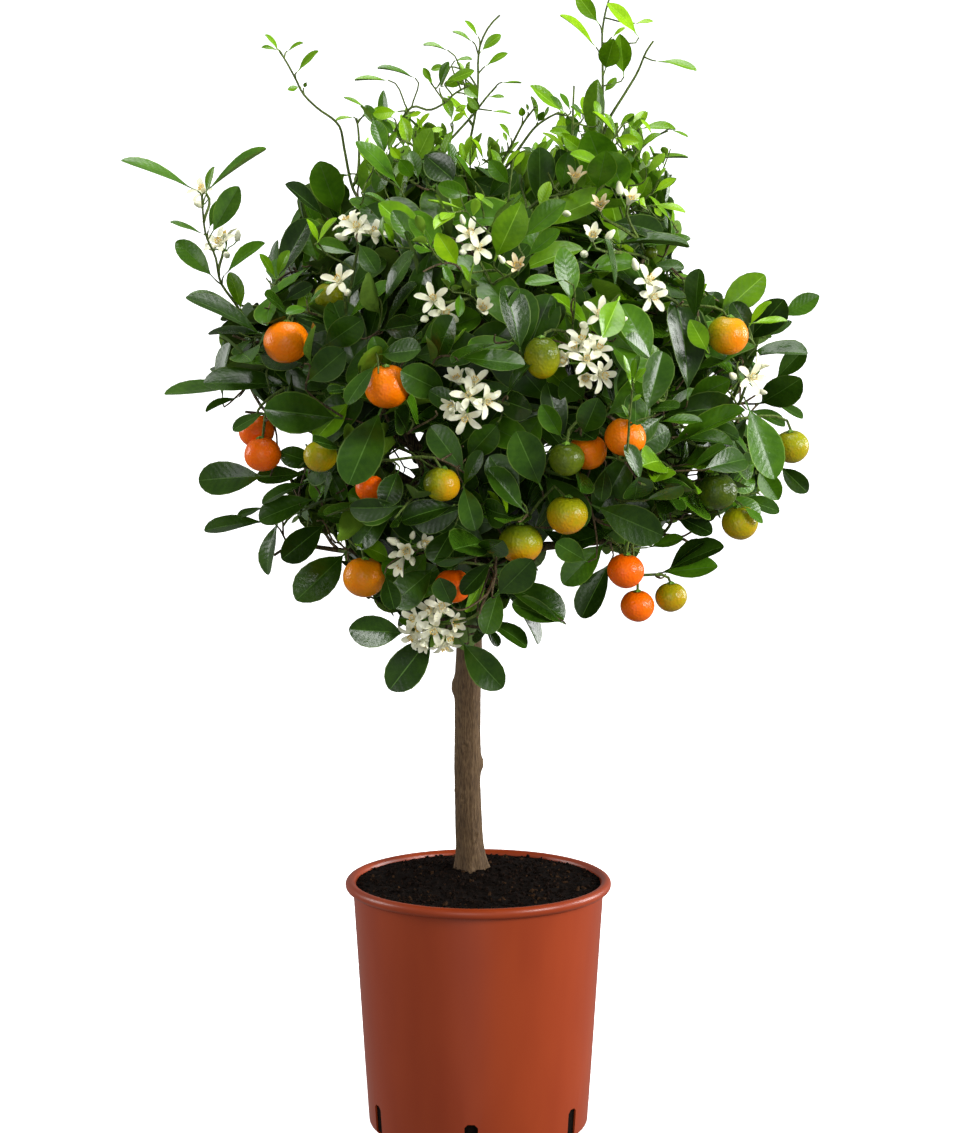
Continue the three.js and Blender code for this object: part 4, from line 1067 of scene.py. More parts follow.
# How many twigs, and how deep in the crown, from its middle to 1 at its skin.
FIRST_LAYERS = [(12, 0.56), (80, 0.86)]
FINE_LAYERS = [(60, 0.5), (180, 0.66), (380, 0.79), (640, 0.9), (420, 0.99)]
TWIG_WAYS_UNEVEN, TWIG_DEPTHS = 0.06, (0.94, 0.12)  # the least share of it, and what is added
TWIG_OUT, TWIG_UP, FINE_UNEVEN = 0.85, 0.2, 0.35
STALK_RADII, STALK_GREEN, STALK_TOP = (1.4, 1.2), 0.6, 0.8
YOUNG_SHOOTS, YOUNG_RADII = 520, (0.9, 0.5)
YOUNG_LOWEST, YOUNG_DEPTHS, YOUNG_WAYS_UNEVEN = 0.45, (0.94, 1.2), 0.08
YOUNG_OUT, YOUNG_UNEVEN = 0.35, 0.3

# %% [markdown]
# ## Sprigs and leaves in full view
# A plant is known by the few sprigs that stand out of its crown and by the leaves that face
# the eye, so these are placed one by one. All other leaves could be placed so too, but there
# are thousands, and a rule that grows them round these fills the crown as evenly.

# %% Sprigs that stand out
# How deep they are, their tone, the stem's points, and the leaves, each by its root, its tip
# and its width. All are x and z, as they look from the front.
SPRIGS = [
    (-10, 2.6, [(-197,715), (-210,739), (-223,759), (-227,782), (-234,799), (-236,817), (-236,832)], [
        (-239,838,-301,869,7), (-234,837,-182,877,8), (-234,834,-227,859,9), (-230,799,-204,842,23),
        (-232,804,-221,832,12), (-237,801,-265,813,4), (-227,762,-259,797,21), (-220,765,-188,798,12),
        (-208,735,-251,753,12), (-205,733,-212,769,14)]),
    (20, 3.4, [(-110,840), (-117,873), (-121,893), (-127,900), (-140,909), (-153,922), (-159,934),
        (-166,947), (-172,957)], [
        (-173,958,-183,974,4), (-175,960,-189,962,4), (-167,959,-154,968,4), (-158,940,-139,959,8),
        (-156,928,-166,925,6), (-153,927,-150,932,4)]),
    (20, 3.6, [(-106,849), (-105,886), (-107,901)], [
        (-99,911,-118,919,4), (-110,902,-126,901,3), (-104,901,-93,909,3)]),
    (5, 3.3, [(-82,843), (-76,873), (-75,882), (-66,899), (-56,910), (-42,907), (-29,913), (-20,921),
        (-7,928)], [
        (-77,932,-106,934,5), (-54,934,-85,948,4), (-73,900,-90,909,12), (-82,864,-86,900,15),
        (-40,930,-47,943,7), (-33,926,-27,949,8), (-27,931,-3,940,11), (-11,920,0,907,8),
        (-55,906,-65,900,7), (-64,873,-68,896,10), (-51,868,-44,894,14), (-20,949,-5,952,4),
        (-26,957,-46,965,3)]),
    (10, 3.5, [(-14,854), (-7,882), (-2,907), (0,933), (0,950), (2,964), (10,980), (19,989)], [
        (2,957,19,973,10), (6,945,25,958,6), (0,971,-10,986,4), (-5,966,-21,977,4), (0,923,-13,930,8),
        (-7,899,-27,920,8), (-9,912,-20,906,7)]),
    (-10, 3.6, [(-42,860), (-20,886), (-3,905), (7,918), (16,928)], [
        (21,931,38,931,3), (9,919,23,919,4), (12,907,29,905,4)]),
    (-25, 3.4, [(19,860), (31,881), (39,896), (49,909)], [
        (38,900,37,907,7), (28,883,20,896,4), (43,905,42,912,3), (25,879,22,888,4)]),
    (-25, 3.2, [(23,857), (36,875), (49,892), (60,900), (70,905)], [
        (74,904,44,927,13), (51,896,47,919,6), (57,900,61,910,4), (51,896,56,905,7), (36,875,48,873,4)]),
    (0, 3.6, [(104,851), (108,890), (109,924), (109,950), (109,976), (112,994), (117,1010)], [
        (106,982,85,1008,16), (111,942,116,964,22), (128,937,123,973,20), (103,962,75,994,8),
        (141,971,117,1004,12), (138,984,154,986,4), (117,971,128,980,4), (102,873,103,934,22),
        (110,923,121,936,8)]),
    (-10, 3.0, [(112,897), (127,922), (137,939), (144,956), (150,965)], [
        (152,948,188,945,6)]),
    (-30, 3.2, [(124,856), (139,873), (152,884), (163,889)], [
        (166,890,180,884,3), (139,891,170,895,9), (135,877,132,893,11), (139,864,180,870,5),
        (126,894,134,904,6), (119,881,111,905,4), (152,839,170,849,8)]),
    (-60, 2.8, [(74,851), (80,881), (81,906), (82,927)], [
        (74,904,62,918,7), (84,881,62,892,7), (86,872,71,886,12), (89,902,80,911,5)]),
    (-221, 3.6, [(119,623), (121,640), (122,660), (123,673), (124,688)], [
        (123,682,116,710,5), (124,686,133,700,5), (123,670,131,677,4), (124,688,124,707,5),
        (122,657,115,669,4)])]
SPRIG_RADII, PETIOLE_RADII, SHORTEST_PETIOLE = (1.6, 0.9), (0.85, 0.65), 2
SPRIG_SHAPE = 0.46
SPRIG_LEAN, SPRIG_DEPTH = 0.3, 9  # how far sprigs lean in depth, and their leaves stand in it
SPRIG_GREEN, PETIOLE_GREEN, SPRIG_TONE, SPRIG_TONES = 0.8, 0.9, -0.4, 0.6
print(len(SPRIGS), "sprigs with", sum(len(leaves) for *_, leaves in SPRIGS), "leaves")

# %% Leaves in full view
# X and z of the root, then of the tip, the width as seen, how deep the leaf is, and its tone
# from 0, deep, to 4, fresh.
CHOSEN_LEAVES = [
    # lower left
    (-119,652,-177,662,35,-150,1.2), (-81,657,-103,606,36,-190,1.2), (-183,599,-237,598,28,-110,1.1),
    (-149,600,-188,597,14,-100,0.6), (-148,592,-185,580,10,-105,1.2), (-141,578,-187,564,19,-100,0.7),
    (-185,558,-234,556,11,-90,1.2), (-185,569,-206,562,5,-80,0.6), (-171,556,-188,515,15,-95,1),
    (-133,554,-166,529,26,-90,0.3), (-115,531,-151,499,32,-110,1.1), (-205,672,-269,666,11,-60,1.7),
    (-160,674,-233,679,13,-80,0.6), (-208,662,-234,653,7,-70,1), (-178,656,-203,645,10,-165,0.6),
    (-221,663,-220,709,11,-50,0.9), (-139,612,-163,622,19,-120,0.6), (-124,606,-112,581,15,-130,1.2),
    # lower middle
    (-65,464,-109,471,28,-100,0.6), (-41,458,-75,416,32,-105,0.5), (-12,452,19,421,29,-90,0.6),
    (17,502,7,469,21,-120,0.8), (21,507,78,486,20,-110,0.8), (20,504,60,461,9,-105,0.3),
    (10,475,45,459,14,-115,0.8), (7,468,19,453,8,-100,0.4), (-39,523,-72,499,29,-150,0.7),
    (-22,499,-32,526,20,-150,0.6), (-76,521,-68,496,17,-172,0.4),
    # lower right
    (106,539,71,507,24,-100,2), (111,521,87,477,24,-95,0.5), (101,578,154,557,32,-165,1),
    (160,516,204,522,17,-100,2.4), (163,519,207,543,15,-95,1.2), (163,519,187,548,5,-90,0.3),
    (148,538,175,545,8,-100,2.2), (171,560,202,545,17,-60,0.4), (226,657,250,601,29,-140,2.1),
    (238,604,252,581,19,-110,1.6), (225,575,260,568,13,-70,1), (262,601,282,582,17,-60,0.5),
    (233,652,263,642,11,-80,0.9), (258,655,281,645,8,-50,0.9), (224,575,239,562,7,-125,1.9),
    # right
    (208,733,244,768,26,-60,2.6), (233,712,261,748,28,-50,0.4), (265,731,295,748,16,-30,2.4),
    (252,714,270,727,8,-40,1.4), (233,695,283,709,6,-40,0.8), (261,677,284,703,19,-20,0.9),
    (244,658,268,677,29,-60,1.3), (183,688,233,708,12,-130,2), (178,663,213,681,22,-120,2.2),
    (175,675,173,750,30,-130,0.4), (180,734,180,775,13,-140,0.7), (188,709,174,733,17,-165,2.6),
    (154,673,144,716,11,-150,3.2), (141,793,180,798,8,-80,1.6), (148,773,176,777,10,-60,0.7),
    (134,818,159,806,13,-60,0.4), (185,733,195,751,12,-120,0.8),
    # upper left
    (-121,820,-134,860,29,-30,1.6), (-136,818,-167,844,15,-10,0.5), (-172,765,-145,814,21,-40,0.3),
    (-107,787,-135,797,14,-110,1.5), (-165,745,-142,759,12,-60,0.3), (-185,717,-231,720,9,-60,1.4),
    # top
    (53,826,52,875,23,-60,0.7), (75,839,70,873,19,-40,0.9), (109,849,95,881,35,-60,2),
    (123,839,106,870,29,-90,2.4), (-7,847,19,838,16,-20,0.8), (-45,868,-20,847,26,-60,0.2),
    (10,834,31,854,17,-70,1), (-71,872,-90,839,14,-60,1.6),
    # front
    (50,603,30,650,31,-205,1.1), (36,582,8,615,21,-200,1), (67,642,52,667,17,-204,2),
    (86,645,96,674,24,-208,1.2), (69,637,57,684,24,-190,0.5), (14,672,46,663,24,-195,0.4),
    (-10,660,-38,680,17,-228,0.9), (-12,613,-37,650,23,-200,1), (-7,624,14,649,23,-188,0.8),
    (-11,602,3,630,12,-205,0.7), (-11,599,-2,567,20,-205,0.8), (18,510,45,542,28,-170,1),
    (-27,676,-59,694,28,-185,0.6), (42,787,67,807,12,-180,2.2), (16,787,34,827,28,-190,2.6),
    (-39,789,-52,742,20,-170,0.9), (-97,794,-82,772,17,-150,0.6), (87,669,67,687,25,-185,0.6),
    (105,610,101,585,15,-170,0.3), (113,751,99,722,23,-190,3), (39,802,71,831,17,-150,2.4),
    (-8,835,-32,843,15,-120,1.8), (66,767,38,765,8,-190,2.4), (-139,683,-110,708,27,-150,1),
    (-126,712,-96,733,25,-150,0.7), (-77,725,-48,731,22,-160,0.5), (150,652,125,635,18,-170,0.9),
    # upper left sprays
    (-71,905,-90,903,11,-30,3.6), (-80,871,-87,898,13,-50,2.4), (-70,846,-97,885,15,-75,2.3),
    (-72,886,-82,897,8,-40,2), (-60,876,-65,901,11,-20,3.5), (-59,901,-49,905,4,-20,3.6),
    (-54,861,-39,891,16,-55,3.4), (-42,889,-30,891,5,-30,3.6), (-52,891,-43,905,4,-25,3.5),
    (-66,865,-74,875,8,-60,3.8), (-55,850,-66,864,13,-70,2.2), (-15,852,-46,866,22,-60,0.5),
    (-28,944,-41,943,6,0,2.6), (-40,929,-46,941,4,0,2.8), (-29,928,-11,936,11,0,3.4),
    (-12,937,-18,949,4,10,3.5), (-10,937,-7,949,4,5,3.6), (-12,929,-1,918,11,-5,3.4),
    (-6,904,-3,917,11,-10,3.3), (-23,900,-28,919,8,-10,3.4), (-22,897,-12,905,6,-15,3.6),
    (-5,849,-19,868,5,-80,1.5), (25,845,10,863,14,-80,2), (4,867,-4,883,4,-40,3.8),
    (24,861,36,872,5,-50,3.8),
    # upper right sprays
    (79,908,72,922,5,-20,2.2), (87,888,75,902,11,-30,2.4), (88,889,63,892,5,-20,3),
    (89,872,72,884,13,-50,2.6), (88,899,82,909,4,-45,3.9), (117,886,101,908,4,-40,3.9),
    (95,870,109,887,17,-45,2.8), (91,843,113,862,20,-85,3.2), (103,861,78,868,4,-70,3.8),
    (114,866,136,855,17,-60,2.8), (71,841,76,871,17,-75,2.1), (85,853,89,872,8,-65,2.2),
    (61,861,66,875,4,-60,3.9), (49,808,112,841,17,-120,3.1), (33,772,84,798,12,-160,2.8),
    (122,894,133,904,4,-35,3), (119,883,137,879,10,-55,3.8), (148,888,141,900,4,-40,3.5),
    (139,876,155,888,6,-45,3.4), (116,858,132,866,7,-75,2), (141,825,127,844,10,-95,3.5),
    (151,838,167,849,7,-70,3.8), (151,826,177,824,5,-70,3.6), (149,824,155,817,5,-80,3.6),
    (115,812,156,807,16,-110,0.5), (51,826,59,846,11,-130,3.7), (129,842,143,839,5,-85,3.8),
    (120,795,177,800,8,-110,0.9),
    # right of the middle
    (234,713,219,745,18,-60,0.5), (212,578,243,568,14,-105,1.5), (131,608,121,637,12,-215,1.2),
    (69,476,29,493,18,-110,0.6), (89,533,65,550,20,-150,0.9), (109,568,142,580,16,-160,0.6),
    # small fresh leaves among the old
    (22,574,11,597,5,-190,3.8), (24,576,19,595,4,-190,3.6), (-133,797,-140,816,6,-120,3.8),
    (-131,798,-117,817,6,-120,3.6), (-173,766,-184,786,6,-70,3.2), (-170,766,-163,789,8,-70,3.3),
    (-17,780,-33,806,18,-190,3.6), (90,729,64,759,11,-185,3.3), (231,727,245,748,7,-90,3.7),
    (234,727,262,730,5,-85,3.5), (-189,718,-245,756,12,-60,1), (100,866,100,886,21,-70,2.2),
    (100,841,105,871,25,-95,2.4), (107,858,76,868,7,-110,3.4), (136,832,143,849,12,-90,3.3),
    (116,849,137,839,9,-90,2.6), (121,880,136,892,10,-45,3.3), (130,892,138,872,9,-50,3.1),
    (131,888,142,900,6,-40,3), (104,900,102,915,7,-30,2.8), (78,873,82,898,12,-40,2.1),
    # over the boughs, and among the shoots at the top
    (113,556,68,542,16,-150,0.6), (56,555,84,537,12,-135,0.4), (-68,830,-62,857,12,-60,2.6),
    (-88,857,-95,876,9,-60,3.2), (-40,860,-46,883,10,-40,3), (-31,866,-23,889,9,-40,3.3),
    (-20,856,-25,879,9,-50,2.4), (-51,849,-56,872,12,-60,2.2), (-77,873,-70,888,6,-40,3.4),
    (19,854,13,874,8,-50,2.6), (38,850,44,871,7,-50,3), (49,866,57,881,6,-40,3.2),
    # over the twigs on the right
    (158,627,219,663,6,-150,2.2), (168,635,213,634,13,-145,0.8), (156,650,215,666,20,-125,0.4),
    (186,644,221,638,9,-120,0.6), (154,649,186,651,7,-150,2.4), (10,533,-14,508,17,-165,0.4)]
CHOSEN_SHAPE = 0.54
CHOSEN_KEPT_OPEN = np.array([0.15, 0.4, 0.65, 0.9])[:, None]  # places on it that stay in view
NUDGES = (0, -7, 7, -14, 14, -21, 21)  # how much nearer or farther a leaf may be, mm
print(len(CHOSEN_LEAVES), "leaves in full view")

# %% Keep clear of limbs
LIMB_PIECES = 12


def limb_segments():
    """Limbs as short straight pieces with a radius, which twigs and leaves keep clear of."""
    starts, ends, radii = [], [], []
    for name, line in LIMBS.items():
        points = Line(line.points, LIMB_PIECES + 1).points
        first, last = (TRUNK_RADII[0], TRUNK_RADII[-1]) if name == "trunk" else BOUGH_RADII
        starts.append(points[:-1])
        ends.append(points[1:])
        radii.append(np.linspace(first, last, LIMB_PIECES))
    return np.concatenate(starts), np.concatenate(ends), np.concatenate(radii)


LIMB_FROM, LIMB_TO, LIMB_RADII = limb_segments()
print(len(LIMB_RADII), "pieces of limbs to keep clear of")


def clear_of_limbs(points, reach):
    way = LIMB_TO - LIMB_FROM
    offset = points[:, None] - LIMB_FROM
    share = np.clip((offset * way).sum(2) / (way * way).sum(1), 0, 1)
    away = lengths(offset - share[..., None] * way) - LIMB_RADII
    return away.min() > reach


# %% Twigs and masses
class Twig:
    """A limb of the last order. Its leaves are "none", "inner", "all" or "young"."""

    def __init__(self, line, radii, leaves, green=0.0, carrier=None):
        self.line, self.radii, self.leaves, self.green = line, radii, leaves, green
        self.carrier = carrier
        self.needed = leaves == "none"


class Mass:
    """The twigs that grow from one bough, and the nodes on them where more may start."""

    def __init__(self, index):
        self.index, self.name = index, NAMES[index]
        self.dice = Dice(101 + index)
        self.twigs = []
        self.nodes, self.headings, self.paths = np.empty((0, 3)), np.empty((0, 3)), np.empty(0)
        self.owners = []  # the twig that each node is on
        bough, heart = LIMBS[self.name], HEARTS[index]
        tip, heading = bough.at(1), bough.heading(1)
        line = bend(tip - heading, heading, heart, outward(heart))
        self.add(Twig(line, STEM_RADII, "none"), 0.0, LAST_NODE)

    def add(self, twig, path, last):
        self.twigs.append(twig)
        steps = max(2, round(last * twig.line.length / NODE_SPACING))
        shares = np.arange(1, steps + 1) / steps * last
        self.nodes = np.vstack([self.nodes, [twig.line.at(share) for share in shares]])
        self.headings = np.vstack([self.headings, [twig.line.heading(share) for share in shares]])
        self.paths = np.append(self.paths, path + shares * twig.line.length)
        self.owners += [twig] * steps

    def best_nodes(self, place):
        way = place - self.nodes
        length = lengths(way) + 1e-6
        back = 1 - (self.headings * way).sum(1) / length
        cost = length * (1 + TURN_BACK_COST * back) + PATH_COST * self.paths
        return np.argsort(cost, kind="stable")[:NODES_TRIED]

    def reach_out(self, place, arrive, leaves, radii, own=None, green=0.0, anywhere=False):
        """Grows a twig to a place, from the best node whose way there is free."""
        for node in self.best_nodes(place):
            start, heading = self.nodes[node], self.headings[node]
            length = np.linalg.norm(place - start)
            if length < SHORTEST_TWIG:
                continue
            for bow in TWIG_BOWS:
                leave = unit(unit(place - start) * (1 - TWIG_KEEPS_ON) + heading * TWIG_KEEPS_ON)
                swing = self.dice.vector(TWIG_SWING) + UP * bow * min(1, length / STRAIGHTER_BELOW)
                line = bend(start, leave, place, arrive, swing, count=7)
                if not self.is_free(line.points, own, radii[0], anywhere):
                    continue
                self.add(Twig(line, radii, leaves, green, self.owners[node]), self.paths[node],
                         LAST_NODE)
                return True
        return False

    def is_free(self, points, own, radius, anywhere):
        away = lengths(points[:, None] - THING_AT) - THING_REACH
        if own is not None:
            away[:, own] = np.inf
        if away.min() < radius + CLEARANCE or not clear_of_limbs(points, radius + CLEARANCE):
            return False
        return anywhere or depth_in_space(self.index, points).min() > radius

    def drop_bare_twigs(self):
        """Leaves out twigs that carry nothing, as a tree sheds them."""
        for twig in reversed(self.twigs):
            if twig.needed and twig.carrier:
                twig.carrier.needed = True
        self.twigs = [twig for twig in self.twigs if twig.needed]

    def grow_sprig(self, deep, tone, stem, leaves, lean):
        low = stem[0][1]
        points = np.array([(x, deep + lean * (z - low), z) for x, z in stem], float)
        node = self.best_nodes(points[0])[0]
        line = through([self.nodes[node], *points], 4 * len(points) + 1)
        self.add(Twig(line, SPRIG_RADII, "none", SPRIG_GREEN, self.owners[node]), self.paths[node],
                 LAST_SPRIG_NODE)
        for number, leaf in enumerate(leaves):
            depth = deep + lean * (leaf[1] - low) + SPRIG_DEPTH * (number % 3 - 1)
            frame, length, half = clear_frame(leaf, depth, SPRIG_SHAPE)
            foot = frame[0].copy()
            length, half = length / (1 + STALK), half / (1 + STALK)
            frame[0] = foot + frame[1] * STALK * length
            near = int(np.argmin(lengths(line.points - foot)))
            start = line.points[max(near - 1, 0)]
            if np.linalg.norm(foot - line.points[near]) > SHORTEST_PETIOLE:
                petiole = bend(start, unit(foot - start), foot, frame[1], count=6)
                self.twigs.append(Twig(petiole, PETIOLE_RADII, "none", PETIOLE_GREEN))
            own_tone = tone + SPRIG_TONE + self.dice.around(SPRIG_TONES)
            keep_leaf(frame, length, half, own_tone, foot)


# %% [markdown]
# ## Leaves
# A calamondin leaf is 55 to 66 mm long and half as wide, blunt at its tip, folded a little
# along the midrib, glossy above and paler below. The blade is a grid whose rows are pulled
# in to the outline. Its upper face has a narrow strip for the midrib, its lower face has
# fewer, slightly lower corners, and the two meet in a sharp rim, so that the leaf is a
# closed thin body. Each copy gets its own fold, curl and twist as it is laid into the heap.

# %% Leaf template
# Rows of the blade: how far along, and half the width there. The first two are the stalk.
STALK = 0.14
LEAF_ROWS = [(-STALK, 0.05), (0, 0.05), (0.08, 0.2), (0.2, 0.5), (0.34, 0.77), (0.5, 0.95), (0.65, 1.0),
             (0.79, 0.92), (0.9, 0.68), (0.97, 0.37), (1.0, 0.1)]
LEAF_COLUMNS = [-1, -0.94, -0.5, -0.032, 0.032, 0.5, 0.94, 1]
LEAF_BACK_COLUMNS = [-1, 0, 1]
LEAF_THICK = 0.85


def make_blade(rows, columns, drop=0.0):
    """A grid pulled into an outline: rows along Y, columns across, its inside dropped."""
    clear_selection()
    bpy.ops.mesh.primitive_grid_add(x_subdivisions=len(columns) - 1, y_subdivisions=len(rows) - 1,
                                    size=2 * MM, location=(0, 0, 0))
    blade = bpy.context.object
    start_edit(blade)
    far = 10 * MM  # finished rows and columns are kept out of the way of those to come
    for i, share in enumerate(columns):
        old = -1 + 2 * i / (len(columns) - 1)
        pick(blade, lambda at: abs(at.x - old) < 1e-3)
        bpy.ops.transform.translate(value=(share * MM - old * MM + far, 0, 0))
    bpy.ops.mesh.select_all(action="SELECT")
    bpy.ops.transform.translate(value=(-far, 0, 0))
    for i, (along, half) in enumerate(rows):
        old = -1 + 2 * i / (len(rows) - 1)
        pick(blade, lambda at: abs(at.y - old) < 1e-3)
        bpy.ops.transform.resize(value=(half, 1, 1), center_override=(0, 0, 0))
        bpy.ops.transform.translate(value=(0, along * MM - old * MM + far, 0))
    bpy.ops.mesh.select_all(action="SELECT")
    bpy.ops.transform.translate(value=(0, -far, 0))
    if drop:
        last = rows[-1][0]
        halves = dict((round(along, 3), half) for along, half in rows)
        pick(blade, lambda at: abs(at.x) < 0.9 * halves[round(at.y, 3)] and at.y < last - 1e-3
             and at.y > rows[0][0] + 1e-3)
        bpy.ops.transform.translate(value=(0, 0, -drop * MM))
        bpy.ops.mesh.select_all(action="SELECT")
        bpy.ops.mesh.flip_normals()
    bpy.ops.object.mode_set(mode="OBJECT")
    return blade


def close_blade(rows, columns, back_columns):
    """An upper and a lower face that meet along their common rim."""
    face, back = make_blade(rows, columns), make_blade(rows, back_columns, drop=1.0)
    uppers = len(face.data.polygons)
    start_edit(join([face, back]))
    bpy.ops.mesh.select_all(action="SELECT")
    bpy.ops.mesh.remove_doubles(threshold=0.002 * MM)
    bpy.ops.object.mode_set(mode="OBJECT")
    return face, uppers


# The fourth finish is a painted highlight along the leaf's edge, in the back's paler green.
FACE, BACK, RIB, PAINTED_EDGE_HIGHLIGHT = range(4)


def leaf_template():
    leaf, uppers = close_blade(LEAF_ROWS, LEAF_COLUMNS, LEAF_BACK_COLUMNS)
    for _ in range(4):
        leaf.data.materials.append(None)
    strips = len(LEAF_COLUMNS) - 1
    for i, polygon in enumerate(leaf.data.polygons):
        strip = i % strips
        if polygon.center.y < 0 or (i < uppers and strip == strips // 2):
            polygon.material_index = RIB
        elif i >= uppers:
            polygon.material_index = BACK
        else:
            # The two outermost strips of the upper face are a painted highlight along the edge.
            polygon.material_index = PAINTED_EDGE_HIGHLIGHT if strip in (0, strips - 1) else FACE
    return Template(leaf)


LEAF = leaf_template()
print("leaf:", len(LEAF.sizes), "faces")

# %% Rules for leaves
LEAF_LENGTH = 60
LEAF_WIDTHS = (0.5, 0.62)
LEAF_SPACING = 13
LEAF_BARE = 0.12
LEAF_AXIL, LAST_LEAF_AXIL = 0.95, 0.15
LEAF_SIZES, LAST_LEAF_SMALLER = (0.76, 1.14), 0.9
INNER_LAST = 0.6  # a stalk with blossom bears leaves only up to here
# Where a leaf can't grow, it is turned round the twig by these angles, and then made smaller.
LEAF_TRIES = [(turn, size) for size in (1, 0.84, 0.68) for turn in (0, 0.5, -0.5, 1, -1, 1.8, -1.8, 3)]
LEAF_OUTWARD = 0.3
LEAF_LIFT = (440, 880, -0.5, 0.9)  # from one height to another, how far leaves hang or rise
LEAF_LIGHT, LEAF_UNEVEN, LEAF_SWAY = 0.6, 0.6, 0.25
LEAF_FROM_THING, LEAF_FROM_LIMB, LEAF_FROM_LEAF, SAME_FOOT = 2, 1.5, 4, 3  # mm
YOUNG_LEAF, YOUNG_SPACING, YOUNG_AXIL = 34, 9, 0.75
YOUNG_WIDTHS, YOUNG_LIFT = (0.34, 0.46), 0.3
YOUNG_FIRST, YOUNG_GROWN = 0.55, 0.6  # leaves are smallest at a young shoot's tip
# The tone rises with height, partly for younger leaves and partly as painted light from above, and rises to
# the right as painted light from that side.
TONE, TONE_RISES_YOUTH_AND_PAINTED_LIGHT, TONE_PAINTED_LIGHT_RIGHT, TONE_YOUNG, TONE_UNEVEN = 0.75, (700, 170), 0.5, 2, 0.75
MOST_LEAVES = 6000
RIM = np.array([(side * half, along) for side in (1, -1) for along, half in
                (LEAF_ROWS[2:] if side == 1 else LEAF_ROWS[:1:-1])])
BLADE_SAMPLES = np.array([(0, 0.1), (-0.6, 0.3), (0.6, 0.3), (0, 0.3), (-0.9, 0.5), (0, 0.5),
                          (0.9, 0.5), (-0.6, 0.75), (0, 0.75), (0.6, 0.75), (0, 1)])

# %% Leaves so far, and what stays in view
leaf_frames = np.zeros((MOST_LEAVES, 4, 3))  # root, along, side, normal
leaf_sizes = np.zeros((MOST_LEAVES, 2))  # length and half-width
leaf_rims = np.zeros((MOST_LEAVES, len(RIM), 3))
leaf_feet = np.zeros((MOST_LEAVES, 3))  # where each stalk leaves its twig
leaf_tones = []


class View:
    """Discs, on the plane of `seen`, that no leaf nearer to the eye may cover."""

    def __init__(self):
        self.at, self.radius, self.depth = THING_SEEN, THING_OPEN, THING_AT[:, 1]

    def keep_open(self, at, radius, depth):
        self.at = np.vstack([self.at, at])
        self.radius = np.append(self.radius, np.full(len(at), radius))
        self.depth = np.append(self.depth, np.full(len(at), depth))

    def is_covered(self, looks, depths):
        over = lengths(looks[:, None] - self.at) < self.radius
        return (over & (depths[:, None] < self.depth)).any()


VIEW = View()


# %% Where a leaf may be
def tone_of(place, youth, dice):
    """Which green a spray has, from 0, deep, to 4, fresh: brighter high up, where leaves are younger and a
    painted light from above falls, and brighter to the right, a painted light from that side.
    """
    low, rise = TONE_RISES_YOUTH_AND_PAINTED_LIGHT
    # Higher sprays are brighter, partly for younger leaves and partly as painted light from above.
    high = max(0.0, (place[2] - low) / rise)
    # Painted light: sprays to the right get a brighter green, as if lit from that side.
    right = TONE_PAINTED_LIGHT_RIGHT * (place[0] - CROWN_CENTRE[0]) / CROWN_HALF[0]
    return TONE + high + right + TONE_YOUNG * youth + dice.around(TONE_UNEVEN)


def on_blade(shares, frame, length, half):
    root, along, side = frame[0], frame[1], frame[2]
    return root + shares[:, 1:] * length * along + shares[:, :1] * half * side


def cuts(rims, frames, sizes):
    """Whether rims cut through blades, pair by pair."""
    offset = rims - frames[:, 0][:, None]
    far = (offset * frames[:, 1][:, None]).sum(2) / sizes[:, :1]
    across = (offset * frames[:, 2][:, None]).sum(2) / sizes[:, 1:]
    over = (offset * frames[:, 3][:, None]).sum(2)
    nxt = np.roll(over, -1, 1)
    crossing = over * nxt < 0
    share = over / np.where(crossing, over - nxt, 1)
    far = far + share * (np.roll(far, -1, 1) - far)
    across = across + share * (np.roll(across, -1, 1) - across)
    along, half = np.array(LEAF_ROWS).T
    inside = np.abs(across) < np.interp(far, along, half, left=0, right=0)
    return (crossing & inside).any()


def fits(frame, length, half, foot):
    """Whether a blade keeps clear of fruit, blossom and limbs, and cuts no other blade."""
    samples = on_blade(BLADE_SAMPLES, frame, length, half)
    away = lengths(samples[:, None] - THING_AT)
    if (away < THING_REACH + LEAF_FROM_THING).any() or not clear_of_limbs(samples, LEAF_FROM_LIMB):
        return False
    rim = on_blade(RIM, frame, length, half)
    count = len(leaf_tones)
    middle = frame[0] + frame[1] * length / 2
    middles = leaf_frames[:count, 0] + leaf_frames[:count, 1] * leaf_sizes[:count, :1] / 2
    near = (lengths(middles - middle) < length + LEAF_FROM_LEAF) \
        & (lengths(leaf_feet[:count] - foot) > SAME_FOOT)
    if not near.any():
        return True
    frames, sizes, rims = leaf_frames[:count][near], leaf_sizes[:count][near], leaf_rims[:count][near]
    same = np.ones(len(frames))[:, None, None]
    return not (cuts(rim * same, frames, sizes)
                or cuts(rims, frame * same, np.array([length, half]) * same[:, 0]))


def keep_leaf(frame, length, half, tone, foot):
    count = len(leaf_tones)
    leaf_frames[count], leaf_sizes[count], leaf_feet[count] = frame, (length, half), foot
    leaf_rims[count] = on_blade(RIM, frame, length, half)
    leaf_tones.append(tone)


def try_leaf(mass, foot, along, length, width, tone, young):
    half = length * width / 2
    facing = outward(foot) + UP * LEAF_LIGHT + mass.dice.vector(LEAF_UNEVEN)
    normal = unit(facing - along * (facing @ along))
    frame = np.array([foot + along * STALK * length, along, np.cross(normal, along), normal])
    samples = on_blade(BLADE_SAMPLES, frame, length, half)
    looks = seen(samples)
    inside = in_young_outline(samples) if young else in_outline(looks)
    if not inside.all() or in_sky(looks).any():
        return False
    if not young and (crown_share(samples) > CROWN_REACH).any():
        return False
    if VIEW.is_covered(looks, samples[:, 1]) or not fits(frame, length, half, foot):
        return False
    keep_leaf(frame, length, half, tone, foot)
    return True


